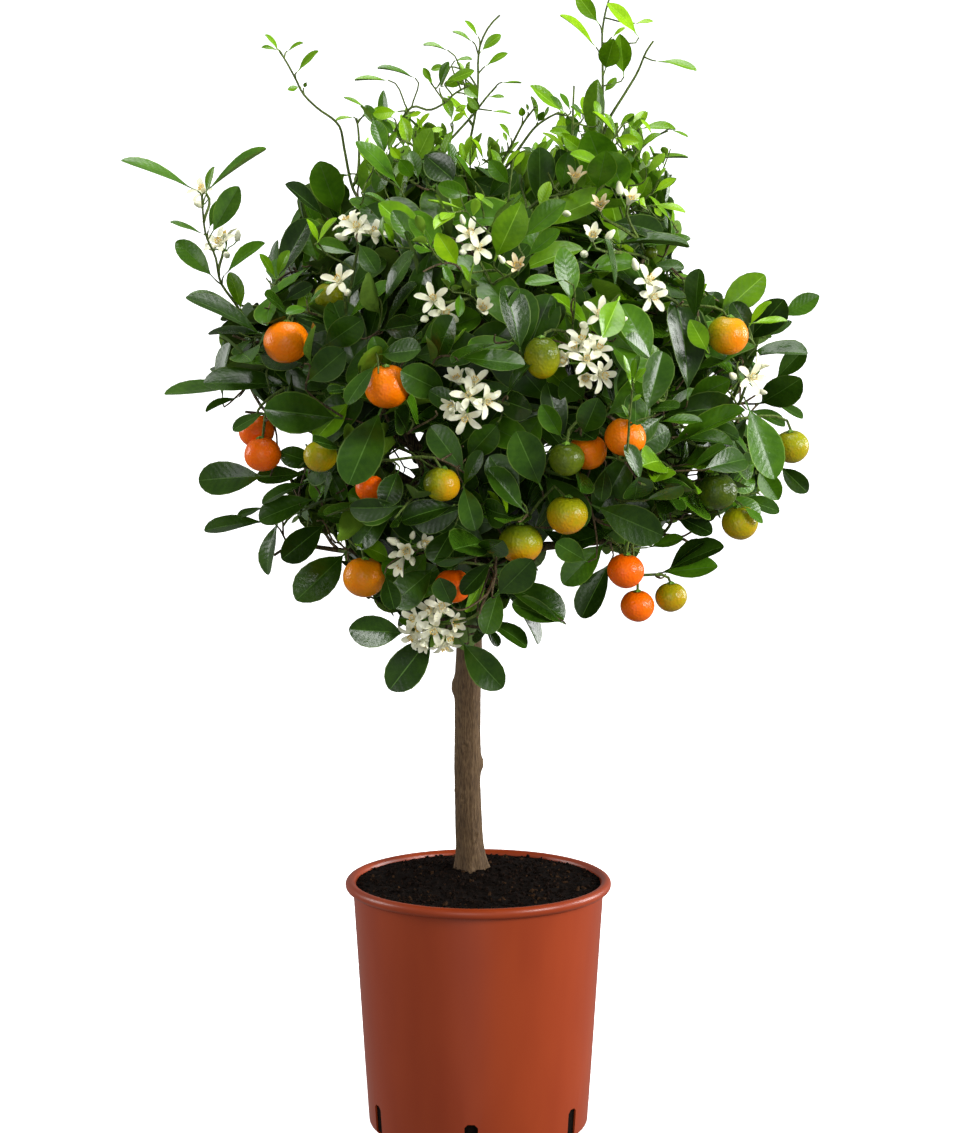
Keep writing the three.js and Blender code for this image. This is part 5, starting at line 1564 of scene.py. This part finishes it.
# %% Leaves placed one by one
def frame_as_seen(leaf, deep, shape):
    """Frame and sizes of a leaf that looks so from the front: root, tip and width."""
    root_x, root_z, tip_x, tip_z, seen_width = leaf
    flat = math.hypot(tip_x - root_x, tip_z - root_z)
    length = max(flat, seen_width / shape)
    towards = math.sqrt(length ** 2 - flat ** 2) + 0.12 * length
    along = unit(np.array([tip_x - root_x, -towards, tip_z - root_z]))
    facing = unit(along * along[1] - [0, 1, 0])
    side = np.cross(facing, along)
    if side[2] < 0:
        side = -side
    share = min(1.0, seen_width / (shape * length))
    normal = facing * share + side * math.sqrt(1 - share ** 2)
    root = np.array([root_x, deep, root_z], float)
    return np.array([root, along, np.cross(normal, along), normal]), length, shape * length / 2


def clear_frame(leaf, deep, shape):
    """The same leaf a little nearer or farther, where it cuts through no other."""
    for nudge in NUDGES:
        frame, length, half = frame_as_seen(leaf, deep + nudge, shape)
        if fits(frame, length, half, frame[0] - frame[1] * STALK * length):
            break
    return frame, length, half


def nearest(masses, place):
    """The three masses whose twigs come nearest to a place."""
    return sorted(masses, key=lambda mass: lengths(mass.nodes - place).min())[:3]


def grow_chosen_leaf(masses, *values):
    *leaf, deep, tone = values
    frame, length, half = clear_frame(leaf, deep, CHOSEN_SHAPE)
    foot = frame[0] - frame[1] * STALK * length
    for mass in nearest(masses, foot):
        if mass.reach_out(foot, frame[1], "none", FINE_RADII, BLOSSOM_NUMBERS, tone / 3,
                          anywhere=True):
            break
    else:
        print("no twig reaches the leaf at", foot.round())
        return
    keep_leaf(frame, length, half, tone, foot)
    VIEW.keep_open(seen(frame[0] + CHOSEN_KEPT_OPEN * length * frame[1]), leaf[4] / 2, deep)


# %% Leaves by rule
def grow_leaves(mass, twig):
    """Leaves stand alternately round a twig's outer part, and one ends it."""
    if twig.leaves == "none":
        return
    young = twig.leaves == "young"
    dice, line = mass.dice, twig.line
    size = YOUNG_LEAF if young else LEAF_LENGTH
    spacing = YOUNG_SPACING if young else LEAF_SPACING
    last = INNER_LAST if twig.leaves == "inner" else 1.0
    count = int(line.length * (last - LEAF_BARE) / spacing)
    turn = dice() * 6.28
    tone = tone_of(line.at(1), 0.9 if young else dice() ** 4, dice)
    for i in range(count + 1):
        share = last - i / (count + 1) * (last - LEAF_BARE)
        place, heading = line.at(min(share, 0.97)), line.heading(min(share, 0.97))
        low, high, least, most = LEAF_LIFT
        lift = least + (most - least) * (place[2] - low) / (high - low)
        side = unit(np.cross(heading, UP + dice.vector(0.05)))
        ending = i == 0 and last == 1
        length = size * dice.between(*LEAF_SIZES) * (LAST_LEAF_SMALLER if ending else 1)
        if young:
            length *= YOUNG_FIRST + YOUNG_GROWN * (1 - share)
        axil = LAST_LEAF_AXIL if ending else YOUNG_AXIL if young else LEAF_AXIL
        width = dice.between(*(YOUNG_WIDTHS if young else LEAF_WIDTHS))
        turn += GOLDEN_TURN
        own_tone = tone + dice.around(0.5)
        for nudge, smaller in LEAF_TRIES:
            along = unit(turned(side, heading, turn + nudge) * math.sin(axil)
                         + heading * math.cos(axil)
                         + (outward(place) * LEAF_OUTWARD + UP * lift) * (YOUNG_LIFT if young else 1)
                         + dice.vector(LEAF_SWAY))
            if try_leaf(mass, place, along, length * smaller, width, own_tone, young):
                twig.needed = True
                break


# %% Grow the crown
def grow_crown():
    dice = Dice(11)
    masses = [Mass(index) for index in range(len(NAMES))]

    least, more = TWIG_DEPTHS

    def grow_layer(count, depth, leaves, radii, uneven=0.0):
        for way in spread(count):
            way = unit(way + dice.vector(TWIG_WAYS_UNEVEN))
            place = draw_in(on_crown(way, depth * (least + more * dice())))
            if place is None:
                continue
            arrive = unit(outward(place) * TWIG_OUT + UP * TWIG_UP + dice.vector(uneven))
            masses[space_of(place)].reach_out(place, arrive, leaves, radii, green=dice())

    for count, depth in FIRST_LAYERS:
        grow_layer(count, depth, "all", TWIG_RADII)
    for number, (deep, tone, stem, leaves) in enumerate(SPRIGS):
        start = np.array([stem[0][0], deep, stem[0][1]], float)
        lean = SPRIG_LEAN * (number % 3 - 1)
        masses[space_of(start)].grow_sprig(deep, tone, stem, leaves, lean)
    for own, thing in enumerate(THINGS):
        hanging = "ripe" in thing
        place = thing["at"] + UP * thing["reach"] * (STALK_TOP if hanging else 0)
        arrive = -UP if hanging else thing["facing"]
        for mass in nearest(masses, place):
            if mass.reach_out(place, arrive, "none" if hanging else "inner", STALK_RADII, own,
                              STALK_GREEN, anywhere=True):
                mass.twigs[-1].needed = True
                break
        else:
            print("no stalk", thing["at"])
    for leaf in CHOSEN_LEAVES:
        grow_chosen_leaf(masses, *leaf)
    for count, depth in FINE_LAYERS:
        grow_layer(count, depth, "all", FINE_RADII, FINE_UNEVEN)
    # Young shoots rise from the top of the crown, where the light is.
    for way in spread(YOUNG_SHOOTS):
        place = on_crown(unit(way + dice.vector(YOUNG_WAYS_UNEVEN)), dice.between(*YOUNG_DEPTHS))
        if way[2] < YOUNG_LOWEST or not in_young_outline(place):
            continue
        arrive = unit(UP + outward(place) * YOUNG_OUT + dice.vector(YOUNG_UNEVEN))
        masses[space_of(place)].reach_out(place, arrive, "young", YOUNG_RADII, green=1)
    # The outermost sprays come first, so that the leaves in full view keep their full size.
    sprays = [(mass, twig) for mass in masses for twig in mass.twigs]
    for mass, twig in sorted(sprays, key=lambda spray: -crown_share(spray[1].line.at(1))):
        grow_leaves(mass, twig)
    for mass in masses:
        mass.drop_bare_twigs()
    return masses


masses = grow_crown()
print(sum(len(mass.twigs) for mass in masses), "twigs,", len(leaf_tones), "leaves")


# %% Lay the twigs
STEM_SIDES, TWIG_SIDES, WOODY_BELOW = 7, 5, 0.4


def make_twigs(masses):
    heap = Heap()
    for twig in (twig for mass in masses for twig in mass.twigs):
        radii = np.linspace(*twig.radii, len(twig.line.points))
        sides = STEM_SIDES if twig.radii == STEM_RADII else TWIG_SIDES
        heap.lay_tube(twig.line, radii, sides, 0 if twig.green < WOODY_BELOW else 1)
    return heap


green_bark = bark("green_twig_bark", "#2e3a14", "#4a5c20", "#657a30", 1.2)
foliage_nodes = [f"foliage_{name}" for name in NAMES]
make_twigs(masses).hand_over("twigs", [bough_bark, green_bark], "bark", foliage_nodes, smooth=60)

# %% [markdown]
# Citrus leaves have a thick wax coat, so they are darker and glossier than most, and the
# light breaks on a skin that is pitted with oil glands. A leaf's age sets its colour: deep
# green when old, yellow-green on young shoots. Sprays high up are brighter, partly for their
# younger leaves and partly as painted light from above, and sprays to the right are painted
# brighter, as if lit from that side. Each spray gets one of five plain greens, which is also
# what keeps its place when the mesh is exported.


# %% Leaf finishes
SIDE_VEINS, VEIN_SLANT = 9, 0.2  # pairs of side veins, and how far forward they run


def leaf_skin(name, dark, pale, roughness):
    """Waxed leaf: side veins from the blade's own measures, and a cloudy, pitted skin."""
    material, tree, shader, place = new_material(name, {
        "Roughness": roughness, "Specular IOR Level": 0.27})
    blade = add_node(tree, "Attribute", attribute_name="blade").outputs["Vector"]
    shares = add_node(tree, "SeparateXYZ", {"Vector": blade})
    slanted = add_node(tree, "Math", {0: shares.outputs["X"], 1: -VEIN_SLANT, 2: shares.outputs["Y"]},
                       operation="MULTIPLY_ADD")
    turns = add_node(tree, "Math", {0: slanted.outputs[0], 1: 2 * math.pi * SIDE_VEINS},
                     operation="MULTIPLY")
    veins = add_node(tree, "Math", {0: turns.outputs[0]}, operation="SINE")
    cloud = add_node(tree, "TexNoise", {"Vector": place, "Scale": per_metre(16), "Detail": 4,
                                        "Roughness": 0.6})
    tint = add_node(tree, "Math", {0: veins.outputs[0], 1: 0.025, 2: cloud.outputs["Fac"]},
                    operation="MULTIPLY_ADD")
    glands = add_node(tree, "TexNoise", {"Vector": place, "Scale": per_metre(2.4), "Detail": 2})
    relief = add_node(tree, "Math", {0: veins.outputs[0], 1: 0.12, 2: glands.outputs["Fac"]},
                      operation="MULTIPLY_ADD")
    finish_skin(tree, shader, tint.outputs[0], [(0.34, dark), (0.66, pale)],
                relief.outputs[0], strength=0.35, depth=0.5)
    return material


LEAF_GREENS = [("deep", "#172e05", "#253f0a"), ("dark", "#224007", "#32520d"),
               ("green", "#345b09", "#47710f"), ("bright", "#507a07", "#66920c"),
               ("fresh", "#6a9807", "#88b211")]
# The colours of the leaf's back, also used for the painted highlight along the upper face's edge.
LEAF_BACK_AND_EDGE_HIGHLIGHT_GREENS = [("old", "#405917", "#506b20"), ("grown", "#557716", "#688b20"),
              ("young", "#76a41c", "#8cba2c")]
LEAF_RIBS = [("old", "#3b5c1a", "#4a6e24"), ("young", "#76a424", "#8cb836")]
leaf_finishes = [
    *(leaf_skin(f"leaf_wax_{name}", dark, pale, 0.25) for name, dark, pale in LEAF_GREENS),
    *(leaf_skin(f"leaf_back_and_edge_highlight_{name}", dark, pale, 0.5) for name, dark, pale in LEAF_BACK_AND_EDGE_HIGHLIGHT_GREENS),
    *(leaf_skin(f"leaf_rib_{name}", dark, pale, 0.42) for name, dark, pale in LEAF_RIBS),
]
# Each tone's back colour, which also paints the highlight along the upper face's edge.
BACK_AND_EDGE_HIGHLIGHT_OF = [5, 5, 6, 6, 7]
RIB_OF = [8, 8, 8, 9, 9]


# %% Lay the leaves
LEAF_FOLDS, LEAF_CURLS, LEAF_TWIST = (0.1, 0.42), (-0.05, 0.5), 0.28
LEAF_WAVE, WAVES = 0.055, 9  # its rim goes up and down a little
POINTED_FROM, POINTED_RISE, POINTED, POINTED_WIDER = 1.2, 1.5, 0.6, 0.16  # young leaves
STOREYS = {"lower": (-1e9, 590), "middle": (590, 700), "upper": (700, 790), "top": (790, 1e9)}


def lay_leaf(heap, frame, length, half, tone, dice):
    root, along, side, normal = frame
    across, far, down = LEAF.points.T
    fold, curl = dice.between(*LEAF_FOLDS), dice.between(*LEAF_CURLS)
    twist, wave = dice.around(LEAF_TWIST), dice.around(LEAF_WAVE)
    pointed = np.clip((tone - POINTED_FROM) / POINTED_RISE, 0, 1) * dice.between(POINTED, 1)
    narrow = 1 - POINTED * pointed * np.clip(far, 0, 1) ** 3
    lift = fold * np.abs(across) + wave * np.sin(WAVES * far + dice() * 6) * np.abs(across)
    x = across * half * narrow * (1 + POINTED_WIDER * pointed)
    z = lift * half + down * LEAF_THICK
    turn = twist * far
    x, z = x * np.cos(turn) - z * np.sin(turn), x * np.sin(turn) + z * np.cos(turn)
    # The blade rolls down towards its tip, round an arc.
    angle = curl * far + 1e-6
    y = np.where(np.abs(angle) > 1e-4, np.sin(angle) / curl if abs(curl) > 1e-4 else far, far)
    drop = (1 - np.cos(angle)) / curl if abs(curl) > 1e-4 else 0 * far
    y, z = y * length + z * np.sin(angle), z * np.cos(angle) - drop * length
    points = root + x[:, None] * side + y[:, None] * along + z[:, None] * normal
    tone = int(np.clip(round(tone), 0, 4))
    # Face, back, rib, and the painted edge highlight in the back's paler green.
    finish = np.array([tone, BACK_AND_EDGE_HIGHLIGHT_OF[tone], RIB_OF[tone], BACK_AND_EDGE_HIGHLIGHT_OF[tone]])
    heap.lay(LEAF, points, finish[LEAF.kinds], np.column_stack([np.abs(across), far, 0 * far]))


def make_leaves():
    """One mesh for each storey of the crown."""
    dice = Dice(21)
    heaps = {name: Heap() for name in STOREYS}
    for i, tone in enumerate(leaf_tones):
        storey = next(name for name, (low, high) in STOREYS.items() if low <= leaf_feet[i, 2] < high)
        lay_leaf(heaps[storey], leaf_frames[i], *leaf_sizes[i], tone, dice)
    for name, (low, high) in STOREYS.items():
        nodes = [node for node, heart in zip(foliage_nodes, HEARTS) if low <= heart[2] < high]
        heaps[name].hand_over(f"leaves_{name}", leaf_finishes, "foliage", nodes, 70, "blade")


make_leaves()

# %% [markdown]
# ## Fruit
# A calamondin is a small orange, a little flatter than round, sunk at its stalk, which
# ends in a green star-shaped calyx. Its peel is thin and full of oil glands, which the eye
# sees as fine pores. Fruit ripen from green to deep orange, from the side that has most
# sun, so each corner carries a ripeness, and the colour follows that value.

# %% Fruit: template and mesh
FRUIT_SQUAT = 0.94
SUNK = ((0.97, 0.1), (0.94, 0.055), (0.87, 0.015))  # what is above each height sinks this far
FOOT_LIFT = 0.03
FRUIT_TILT, FRUIT_UNEVEN, PEEL_PATCHES, PATCH_WIDE = 0.18, 0.02, 0.05, 9
CALYX_WIDE, CALYX_SEAT = 3.6, 0.9


def fruit_template():
    clear_selection()
    bpy.ops.mesh.primitive_uv_sphere_add(segments=24, ring_count=14, radius=MM)
    fruit = bpy.context.object
    start_edit(fruit)
    for height, sink in SUNK:
        pick(fruit, lambda at: at.z > height)
        bpy.ops.transform.translate(value=(0, 0, -sink * MM))
    pick(fruit, lambda at: at.z < -0.99)
    bpy.ops.transform.translate(value=(0, 0, FOOT_LIFT * MM))
    bpy.ops.object.mode_set(mode="OBJECT")
    return Template(fruit)


def calyx_template():
    """A five-lobed star, cupped, with a boss for the stalk in its middle."""
    clear_selection()
    bpy.ops.mesh.primitive_circle_add(vertices=10, radius=MM, fill_type="TRIFAN")
    calyx = bpy.context.object
    start_edit(calyx)
    pick(calyx, lambda at: at.length > 0.5 and math.cos(5 * math.atan2(at.x, at.y)) < 0)
    bpy.ops.transform.resize(value=(0.55, 0.55, 1), center_override=(0, 0, 0))
    bpy.ops.mesh.select_all(action="SELECT")
    bpy.ops.mesh.extrude_region_move(TRANSFORM_OT_translate={"value": (0, 0, 0.25 * MM)})
    pick(calyx, lambda at: at.z > 0.1 and at.length < 0.5)
    bpy.ops.transform.translate(value=(0, 0, 0.45 * MM))
    end_edit()
    return Template(calyx)


FRUIT_FORM, CALYX = fruit_template(), calyx_template()


def make_fruit():
    heap, calyxes, dice = Heap(), Heap(), Dice(31)
    for number, fruit in enumerate(fruits):
        ripe, to_right, to_top = fruit["ripe"]
        way = FRUIT_FORM.points
        tilt = unit(UP + dice.vector(FRUIT_TILT))
        side = unit(np.cross(tilt, [0.3, 1, 0]))
        axes = np.array([side, np.cross(tilt, side), tilt])
        swell = np.sin(3 * way[:, 0] + 5 * dice()) * np.cos(2 * way[:, 2] + 5 * dice())
        tall = FRUIT_TALL.get(number, FRUIT_SQUAT)
        size = (1 + FRUIT_UNEVEN * swell[:, None]) * fruit["reach"]
        points = (way * [1, 1, tall] * size) @ axes
        value = ripe + to_right * way[:, 0] + to_top * way[:, 2]
        patches = [PEEL_PATCHES * noise.noise(Vector(point / PATCH_WIDE + fruit["at"]))
                   for point in points]
        heap.lay(FRUIT_FORM, points + fruit["at"], values=np.clip(value + patches, 0.02, 0.98))
        star = (CALYX.points * CALYX_WIDE + [0, 0, fruit["reach"] * tall * CALYX_SEAT]) @ axes
        calyxes.lay(CALYX, star + fruit["at"])
    return heap, calyxes


# %% Fruit: finish
PEEL_RIPENS = [(0.0, "#243a08"), (0.2, "#56640a"), (0.38, "#8c8c08"), (0.52, "#b48a06"),
               (0.68, "#d68002"), (0.82, "#e67400"), (1.0, "#e85a00")]


def citrus_peel():
    """Waxed peel: speckled where it ripens, and glossy between its fine pores."""
    material, tree, shader, place = new_material("citrus_peel", {
        "Roughness": 0.3, "Specular IOR Level": 0.22, "Subsurface Weight": 0.03,
        "Subsurface Radius": (0.003, 0.0015, 0.0004), "Subsurface Scale": 1.0})
    ripeness = add_node(tree, "Attribute", attribute_name="ripeness").outputs["Fac"]
    speckles = add_node(tree, "TexNoise", {"Vector": place, "Scale": per_metre(3), "Detail": 3})
    value = add_node(tree, "Math", {0: speckles.outputs["Fac"], 1: 0.16, 2: ripeness},
                     operation="MULTIPLY_ADD")
    level = add_node(tree, "Math", {0: value.outputs[0], 1: 0.08}, operation="SUBTRACT")
    pores = add_node(tree, "TexVoronoi", {"Vector": place, "Scale": per_metre(1.9)},
                     feature="SMOOTH_F1")
    finish_skin(tree, shader, level.outputs[0], PEEL_RIPENS, pores.outputs["Distance"],
                strength=0.45, depth=1.0)
    return material


peel_heap, calyx_heap = make_fruit()
peel_heap.hand_over("fruit", [citrus_peel()], "foliage", foliage_nodes, 60, "ripeness")
calyx_green = leaf_skin("calyx_green", "#4a6f1c", "#68902c", 0.5)
calyx_heap.hand_over("fruit_calyxes", [calyx_green], "foliage", foliage_nodes, smooth=40)

# %% [markdown]
# ## Blossom
# Orange blossom has five thick, waxy, ivory petals that roll back from a tight column of
# stamens with yellow anthers. Buds are ivory clubs in a small green cup. A petal is a blade
# like a leaf's, bent more or less as it is laid, so that flowers are cups, stars or spent.

# %% Blossom: templates
PETAL_ROWS = [(0, 0.32), (0.2, 0.6), (0.45, 0.92), (0.7, 1.0), (0.89, 0.72), (1.0, 0.16)]
PETAL_COLUMNS = [-1, 0, 1]
PETAL_LENGTH, PETAL_HALF, PETAL_THICK = 16.5, 3.0, 0.7
PETAL_LENGTHS, PETAL_CUP, PETAL_FROM_MIDDLE, SPENT_NARROW = (0.88, 1.08), 0.35, 1.2, 0.75
# How far petals lean out, in radians, at their foot and at their tip.
OPENINGS = {"star": (0.55, 1.75), "cup": (0.2, 0.75), "spent": (0.15, 0.95)}
FIVE_PETALS, CUPS = 0.8, 0.3  # shares of flowers with five petals, not six, and half open
STAMENS, STAMENS_LEAN, STAMENS_SHORT, STAMEN_FROM_MIDDLE = 10, (0.12, 0.3), (0.8, 1.0), 0.9
FLOWERS_FROM, FLOWERS_APART, FLOWERS_BACK, FLOWERS_LEAN = 9, 1.1, 5, 0.75
BUD_SIZES, BUDS_OUT, BUDS_LEAN = (2.2, 3.6), (8, 15), (0.5, 1.1)
CLUSTER_FOOT = 8  # the stalks of a group part this far behind its middle
FLOWER_STALK, BUD_STALK = [0.7, 0.7, 0.8, 1.2], [0.6, 0.6, 0.6, 0.7]


def petal_template():
    petal, _ = close_blade(PETAL_ROWS, PETAL_COLUMNS, PETAL_COLUMNS)
    return Template(petal)


def bud_template():
    clear_selection()
    bpy.ops.mesh.primitive_uv_sphere_add(segments=8, ring_count=8, radius=MM)
    bud = bpy.context.object
    start_edit(bud)
    pick(bud, lambda at: at.z > 0.3)
    bpy.ops.transform.resize(value=(0.82, 0.82, 1.1), center_override=(0, 0, 0))
    bpy.ops.mesh.select_all(action="SELECT")
    bpy.ops.transform.resize(value=(1, 1, 1.75), center_override=(0, 0, 0))
    bpy.ops.transform.translate(value=(0, 0, 1.6 * MM))
    bpy.ops.object.mode_set(mode="OBJECT")
    return Template(bud)


def stamen_template():
    """One filament with its anther: a thin cone and a grain."""
    clear_selection()
    bpy.ops.mesh.primitive_cone_add(vertices=4, radius1=0.55 * MM, radius2=0.3 * MM, depth=8 * MM,
                                    location=(0, 0, 4 * MM))
    filament = bpy.context.object
    bpy.ops.object.transform_apply()
    bpy.ops.mesh.primitive_uv_sphere_add(segments=5, ring_count=4, radius=MM, location=(0, 0, 9 * MM))
    anther = bpy.context.object
    anther.scale = (0.62, 0.62, 1.35)
    bpy.ops.object.transform_apply()
    count = len(filament.data.polygons)
    join([filament, anther])
    for _ in range(3):
        filament.data.materials.append(None)
    for i, polygon in enumerate(filament.data.polygons):
        polygon.material_index = 1 if i < count else 2
    return Template(filament)


PETAL, BUD, STAMEN = petal_template(), bud_template(), stamen_template()


# %% Blossom: laying flowers
def frame_on(heading, turn):
    side = unit(np.cross(heading, [0.21, 0.34, 0.9]))
    side = turned(side, heading, turn)
    return side, np.cross(heading, side), heading


def lay_petal(heap, middle, out, heading, opening, spent, dice):
    """Lays one petal that leaves the middle along the heading and rolls outwards."""
    across, far, down = PETAL.points.T
    side = np.cross(heading, out)
    length = PETAL_LENGTH * dice.between(*PETAL_LENGTHS)
    start, end = opening
    end += dice.around(0.25)
    angle = start + (end - start) * far
    steps = np.linspace(0, 1, 24)
    bends = start + (end - start) * steps[:-1]
    run = np.interp(far, steps, np.append(0, np.cumsum(np.sin(bends) * steps[1])))
    rise = np.interp(far, steps, np.append(0, np.cumsum(np.cos(bends) * steps[1])))
    width = PETAL_HALF * (SPENT_NARROW if spent else 1) * across
    thick = PETAL_CUP * PETAL_HALF * across ** 2 + down * PETAL_THICK
    points = (middle + out * PETAL_FROM_MIDDLE + width[:, None] * side
              + (run * length - thick * np.cos(angle))[:, None] * out
              + (rise * length + thick * np.sin(angle))[:, None] * heading)
    heap.lay(PETAL, points, PETAL.kinds + (3 if spent else 0))


def lay_flower(heap, middle, heading, kind, dice):
    side, other, heading = frame_on(heading, dice() * 6)
    petals = 5 if dice() < FIVE_PETALS else 6
    for i in range(petals):
        turn = 2 * math.pi * (i + dice.around(0.12)) / petals
        out = side * math.cos(turn) + other * math.sin(turn)
        lay_petal(heap, middle, out, heading, OPENINGS[kind], kind == "spent", dice)
    for i in range(STAMENS):
        turn = 2 * math.pi * i / STAMENS
        out = side * math.cos(turn) + other * math.sin(turn)
        lean = unit(heading + out * dice.between(*STAMENS_LEAN))
        across = unit(np.cross(lean, out))
        axes = np.array([across, np.cross(lean, across), lean])
        stamen = (STAMEN.points * [1, 1, dice.between(*STAMENS_SHORT)]) @ axes
        heap.lay(STAMEN, stamen + middle + out * STAMEN_FROM_MIDDLE)


def lay_bud(heap, cups, foot, heading, size, dice):
    axes = np.array(frame_on(heading, dice() * 6))
    heap.lay(BUD, (BUD.points * size) @ axes + foot)
    cups.lay(CALYX, (CALYX.points * size * 0.9) @ axes + foot + heading * size * 0.1)


# %% Blossom: groups
def make_blossom():
    """One flower of a group is in its middle, and the others and the buds stand round it."""
    heap, cups, stalks, dice = Heap(), Heap(), Heap(), Dice(41)
    for index, group in enumerate(blossoms):
        facing, middle = group["facing"], group["at"]
        side = unit(np.cross(facing, UP))
        base = middle - facing * CLUSTER_FOOT
        for i in range(group["flowers"]):
            outer = min(i, 1)
            out = turned(side, facing, index + i * GOLDEN_TURN)
            heading = unit(facing + out * FLOWERS_LEAN * outer + dice.vector(0.15))
            at = middle + out * outer * (FLOWERS_FROM + FLOWERS_APART * i) - facing * FLOWERS_BACK * outer
            cupped = index in CUPPED or dice() < CUPS
            kind = "spent" if index in SPENT else "cup" if cupped else "star"
            lay_flower(heap, at, heading, kind, dice)
            stalks.lay_tube(bend(base, facing, at, heading, count=4), FLOWER_STALK, TWIG_SIDES)
        for i in range(group["buds"]):
            out = turned(side, facing, index * 1.7 + 1.2 + i * GOLDEN_TURN)
            heading = unit(facing * 0.7 + out * dice.between(*BUDS_LEAN) + UP * 0.1)
            foot = middle - facing * 4 + out * dice.between(*BUDS_OUT)
            lay_bud(heap, cups, foot, heading, dice.between(*BUD_SIZES), dice)
            stalks.lay_tube(bend(base, facing, foot, heading, count=4), BUD_STALK, TWIG_SIDES)
    return heap, cups, stalks


# %% Blossom: finishes
def petal_wax(name, dark, pale):
    """Petals are thick and waxy: light goes a little way into them."""
    material, tree, shader, place = new_material(name, {
        "Roughness": 0.45, "Subsurface Weight": 0.2, "Subsurface Radius": (0.0016, 0.0016, 0.0012),
        "Subsurface Scale": 1.0})
    cloud = add_node(tree, "TexNoise", {"Vector": place, "Scale": per_metre(8), "Detail": 2})
    finish_skin(tree, shader, cloud.outputs["Fac"], [(0.3, dark), (0.7, pale)])
    return material


blossom_finishes = [petal_wax("petal_ivory", "#e8e6c4", "#f1f3d8"),
                    petal_wax("filament_white", "#e6e2c2", "#f0efd4"),
                    petal_wax("anther_yellow", "#cfaa4c", "#e6cc7c"),
                    petal_wax("petal_spent", "#cbb47e", "#e6dab4")]
flower_heap, cup_heap, stalk_heap = make_blossom()
flower_heap.hand_over("blossom", blossom_finishes, "foliage", foliage_nodes, smooth=50)
cup_heap.hand_over("bud_cups", [calyx_green], "foliage", foliage_nodes, smooth=40)
stalk_heap.hand_over("blossom_stalks", [calyx_green], "foliage", foliage_nodes, smooth=60)

# %% [markdown]
# ## Studio
# The plant stands on a white floor that curves up into a backdrop. Six soft lamps light it:
# a strong one from the front right, a weak one from the front, one at each side that draws
# light along the pot's edges, one above for the young leaves, and a faint one near the floor.
# A white world fills the shadows.

# %% Floor and backdrop
STAGE_RADIUS, STAGE_ROUND, STAGE_HIGH = 5000, 1500, 6000
STAGE_RINGS = (500, 1500)
LAMPS_AIM = Vector((0, 0, 0.55))
LAMPS = {  # place and size in metres, and watts
    "key_light": ((2.5, -1.6, 1.5), 1.3, 105), "front_light": ((-0.5, -2.8, 1.2), 1.2, 15),
    "left_edge_light": ((-2.3, 0.3, 1.1), 1.2, 32), "right_edge_light": ((2.4, 0.8, 1.0), 1.2, 58),
    "top_light": ((0.2, 0.0, 2.8), 1.6, 52), "floor_bounce": ((-0.2, -2.0, 0.1), 1.6, 4)}


def make_stage():
    """A round white floor whose rim curves up into a wall. It is seen, but lights nothing."""
    clear_selection()
    bpy.ops.mesh.primitive_circle_add(vertices=96, radius=STAGE_RINGS[0] * MM, fill_type="NGON")
    stage = bpy.context.object
    start_edit(stage)
    pick(stage, lambda at: True, "EDGE")
    grow_rings([*((radius, 0) for radius in STAGE_RINGS),
                *arc(STAGE_RADIUS - STAGE_ROUND, STAGE_ROUND, STAGE_ROUND, -90, 0, 16),
                (STAGE_RADIUS, STAGE_HIGH)])
    end_edit(inside=True)
    bpy.ops.object.shade_smooth()
    material = new_material("studio_white", {
        "Base Color": linear("#f4f4f4"), "Roughness": 0.9, "Specular IOR Level": 0.0,
        "Emission Color": (1, 1, 1, 1), "Emission Strength": 1.0})[0]
    stage.data.materials.append(material)
    stage.name = "studio_floor"
    stage.visible_diffuse = stage.visible_glossy = stage.visible_shadow = False


# %% Lights
def add_softbox(name, place, size, watts):
    place = Vector(place)
    bpy.ops.object.light_add(type="AREA", location=place)
    light = bpy.context.object
    light.name = name
    light.data.shape = "DISK"
    light.data.size = size
    light.data.energy = watts
    light.rotation_euler = (LAMPS_AIM - place).to_track_quat("-Z", "Y").to_euler()


make_stage()
for name, lamp in LAMPS.items():
    add_softbox(name, *lamp)

world = bpy.data.worlds.new("studio")
world.use_nodes = True
background = world.node_tree.nodes["Background"]
background.inputs["Color"].default_value = (1, 1, 1, 1)
background.inputs["Strength"].default_value = 0.28
bpy.context.scene.world = world
bpy.context.scene.view_settings.view_transform = "Standard"
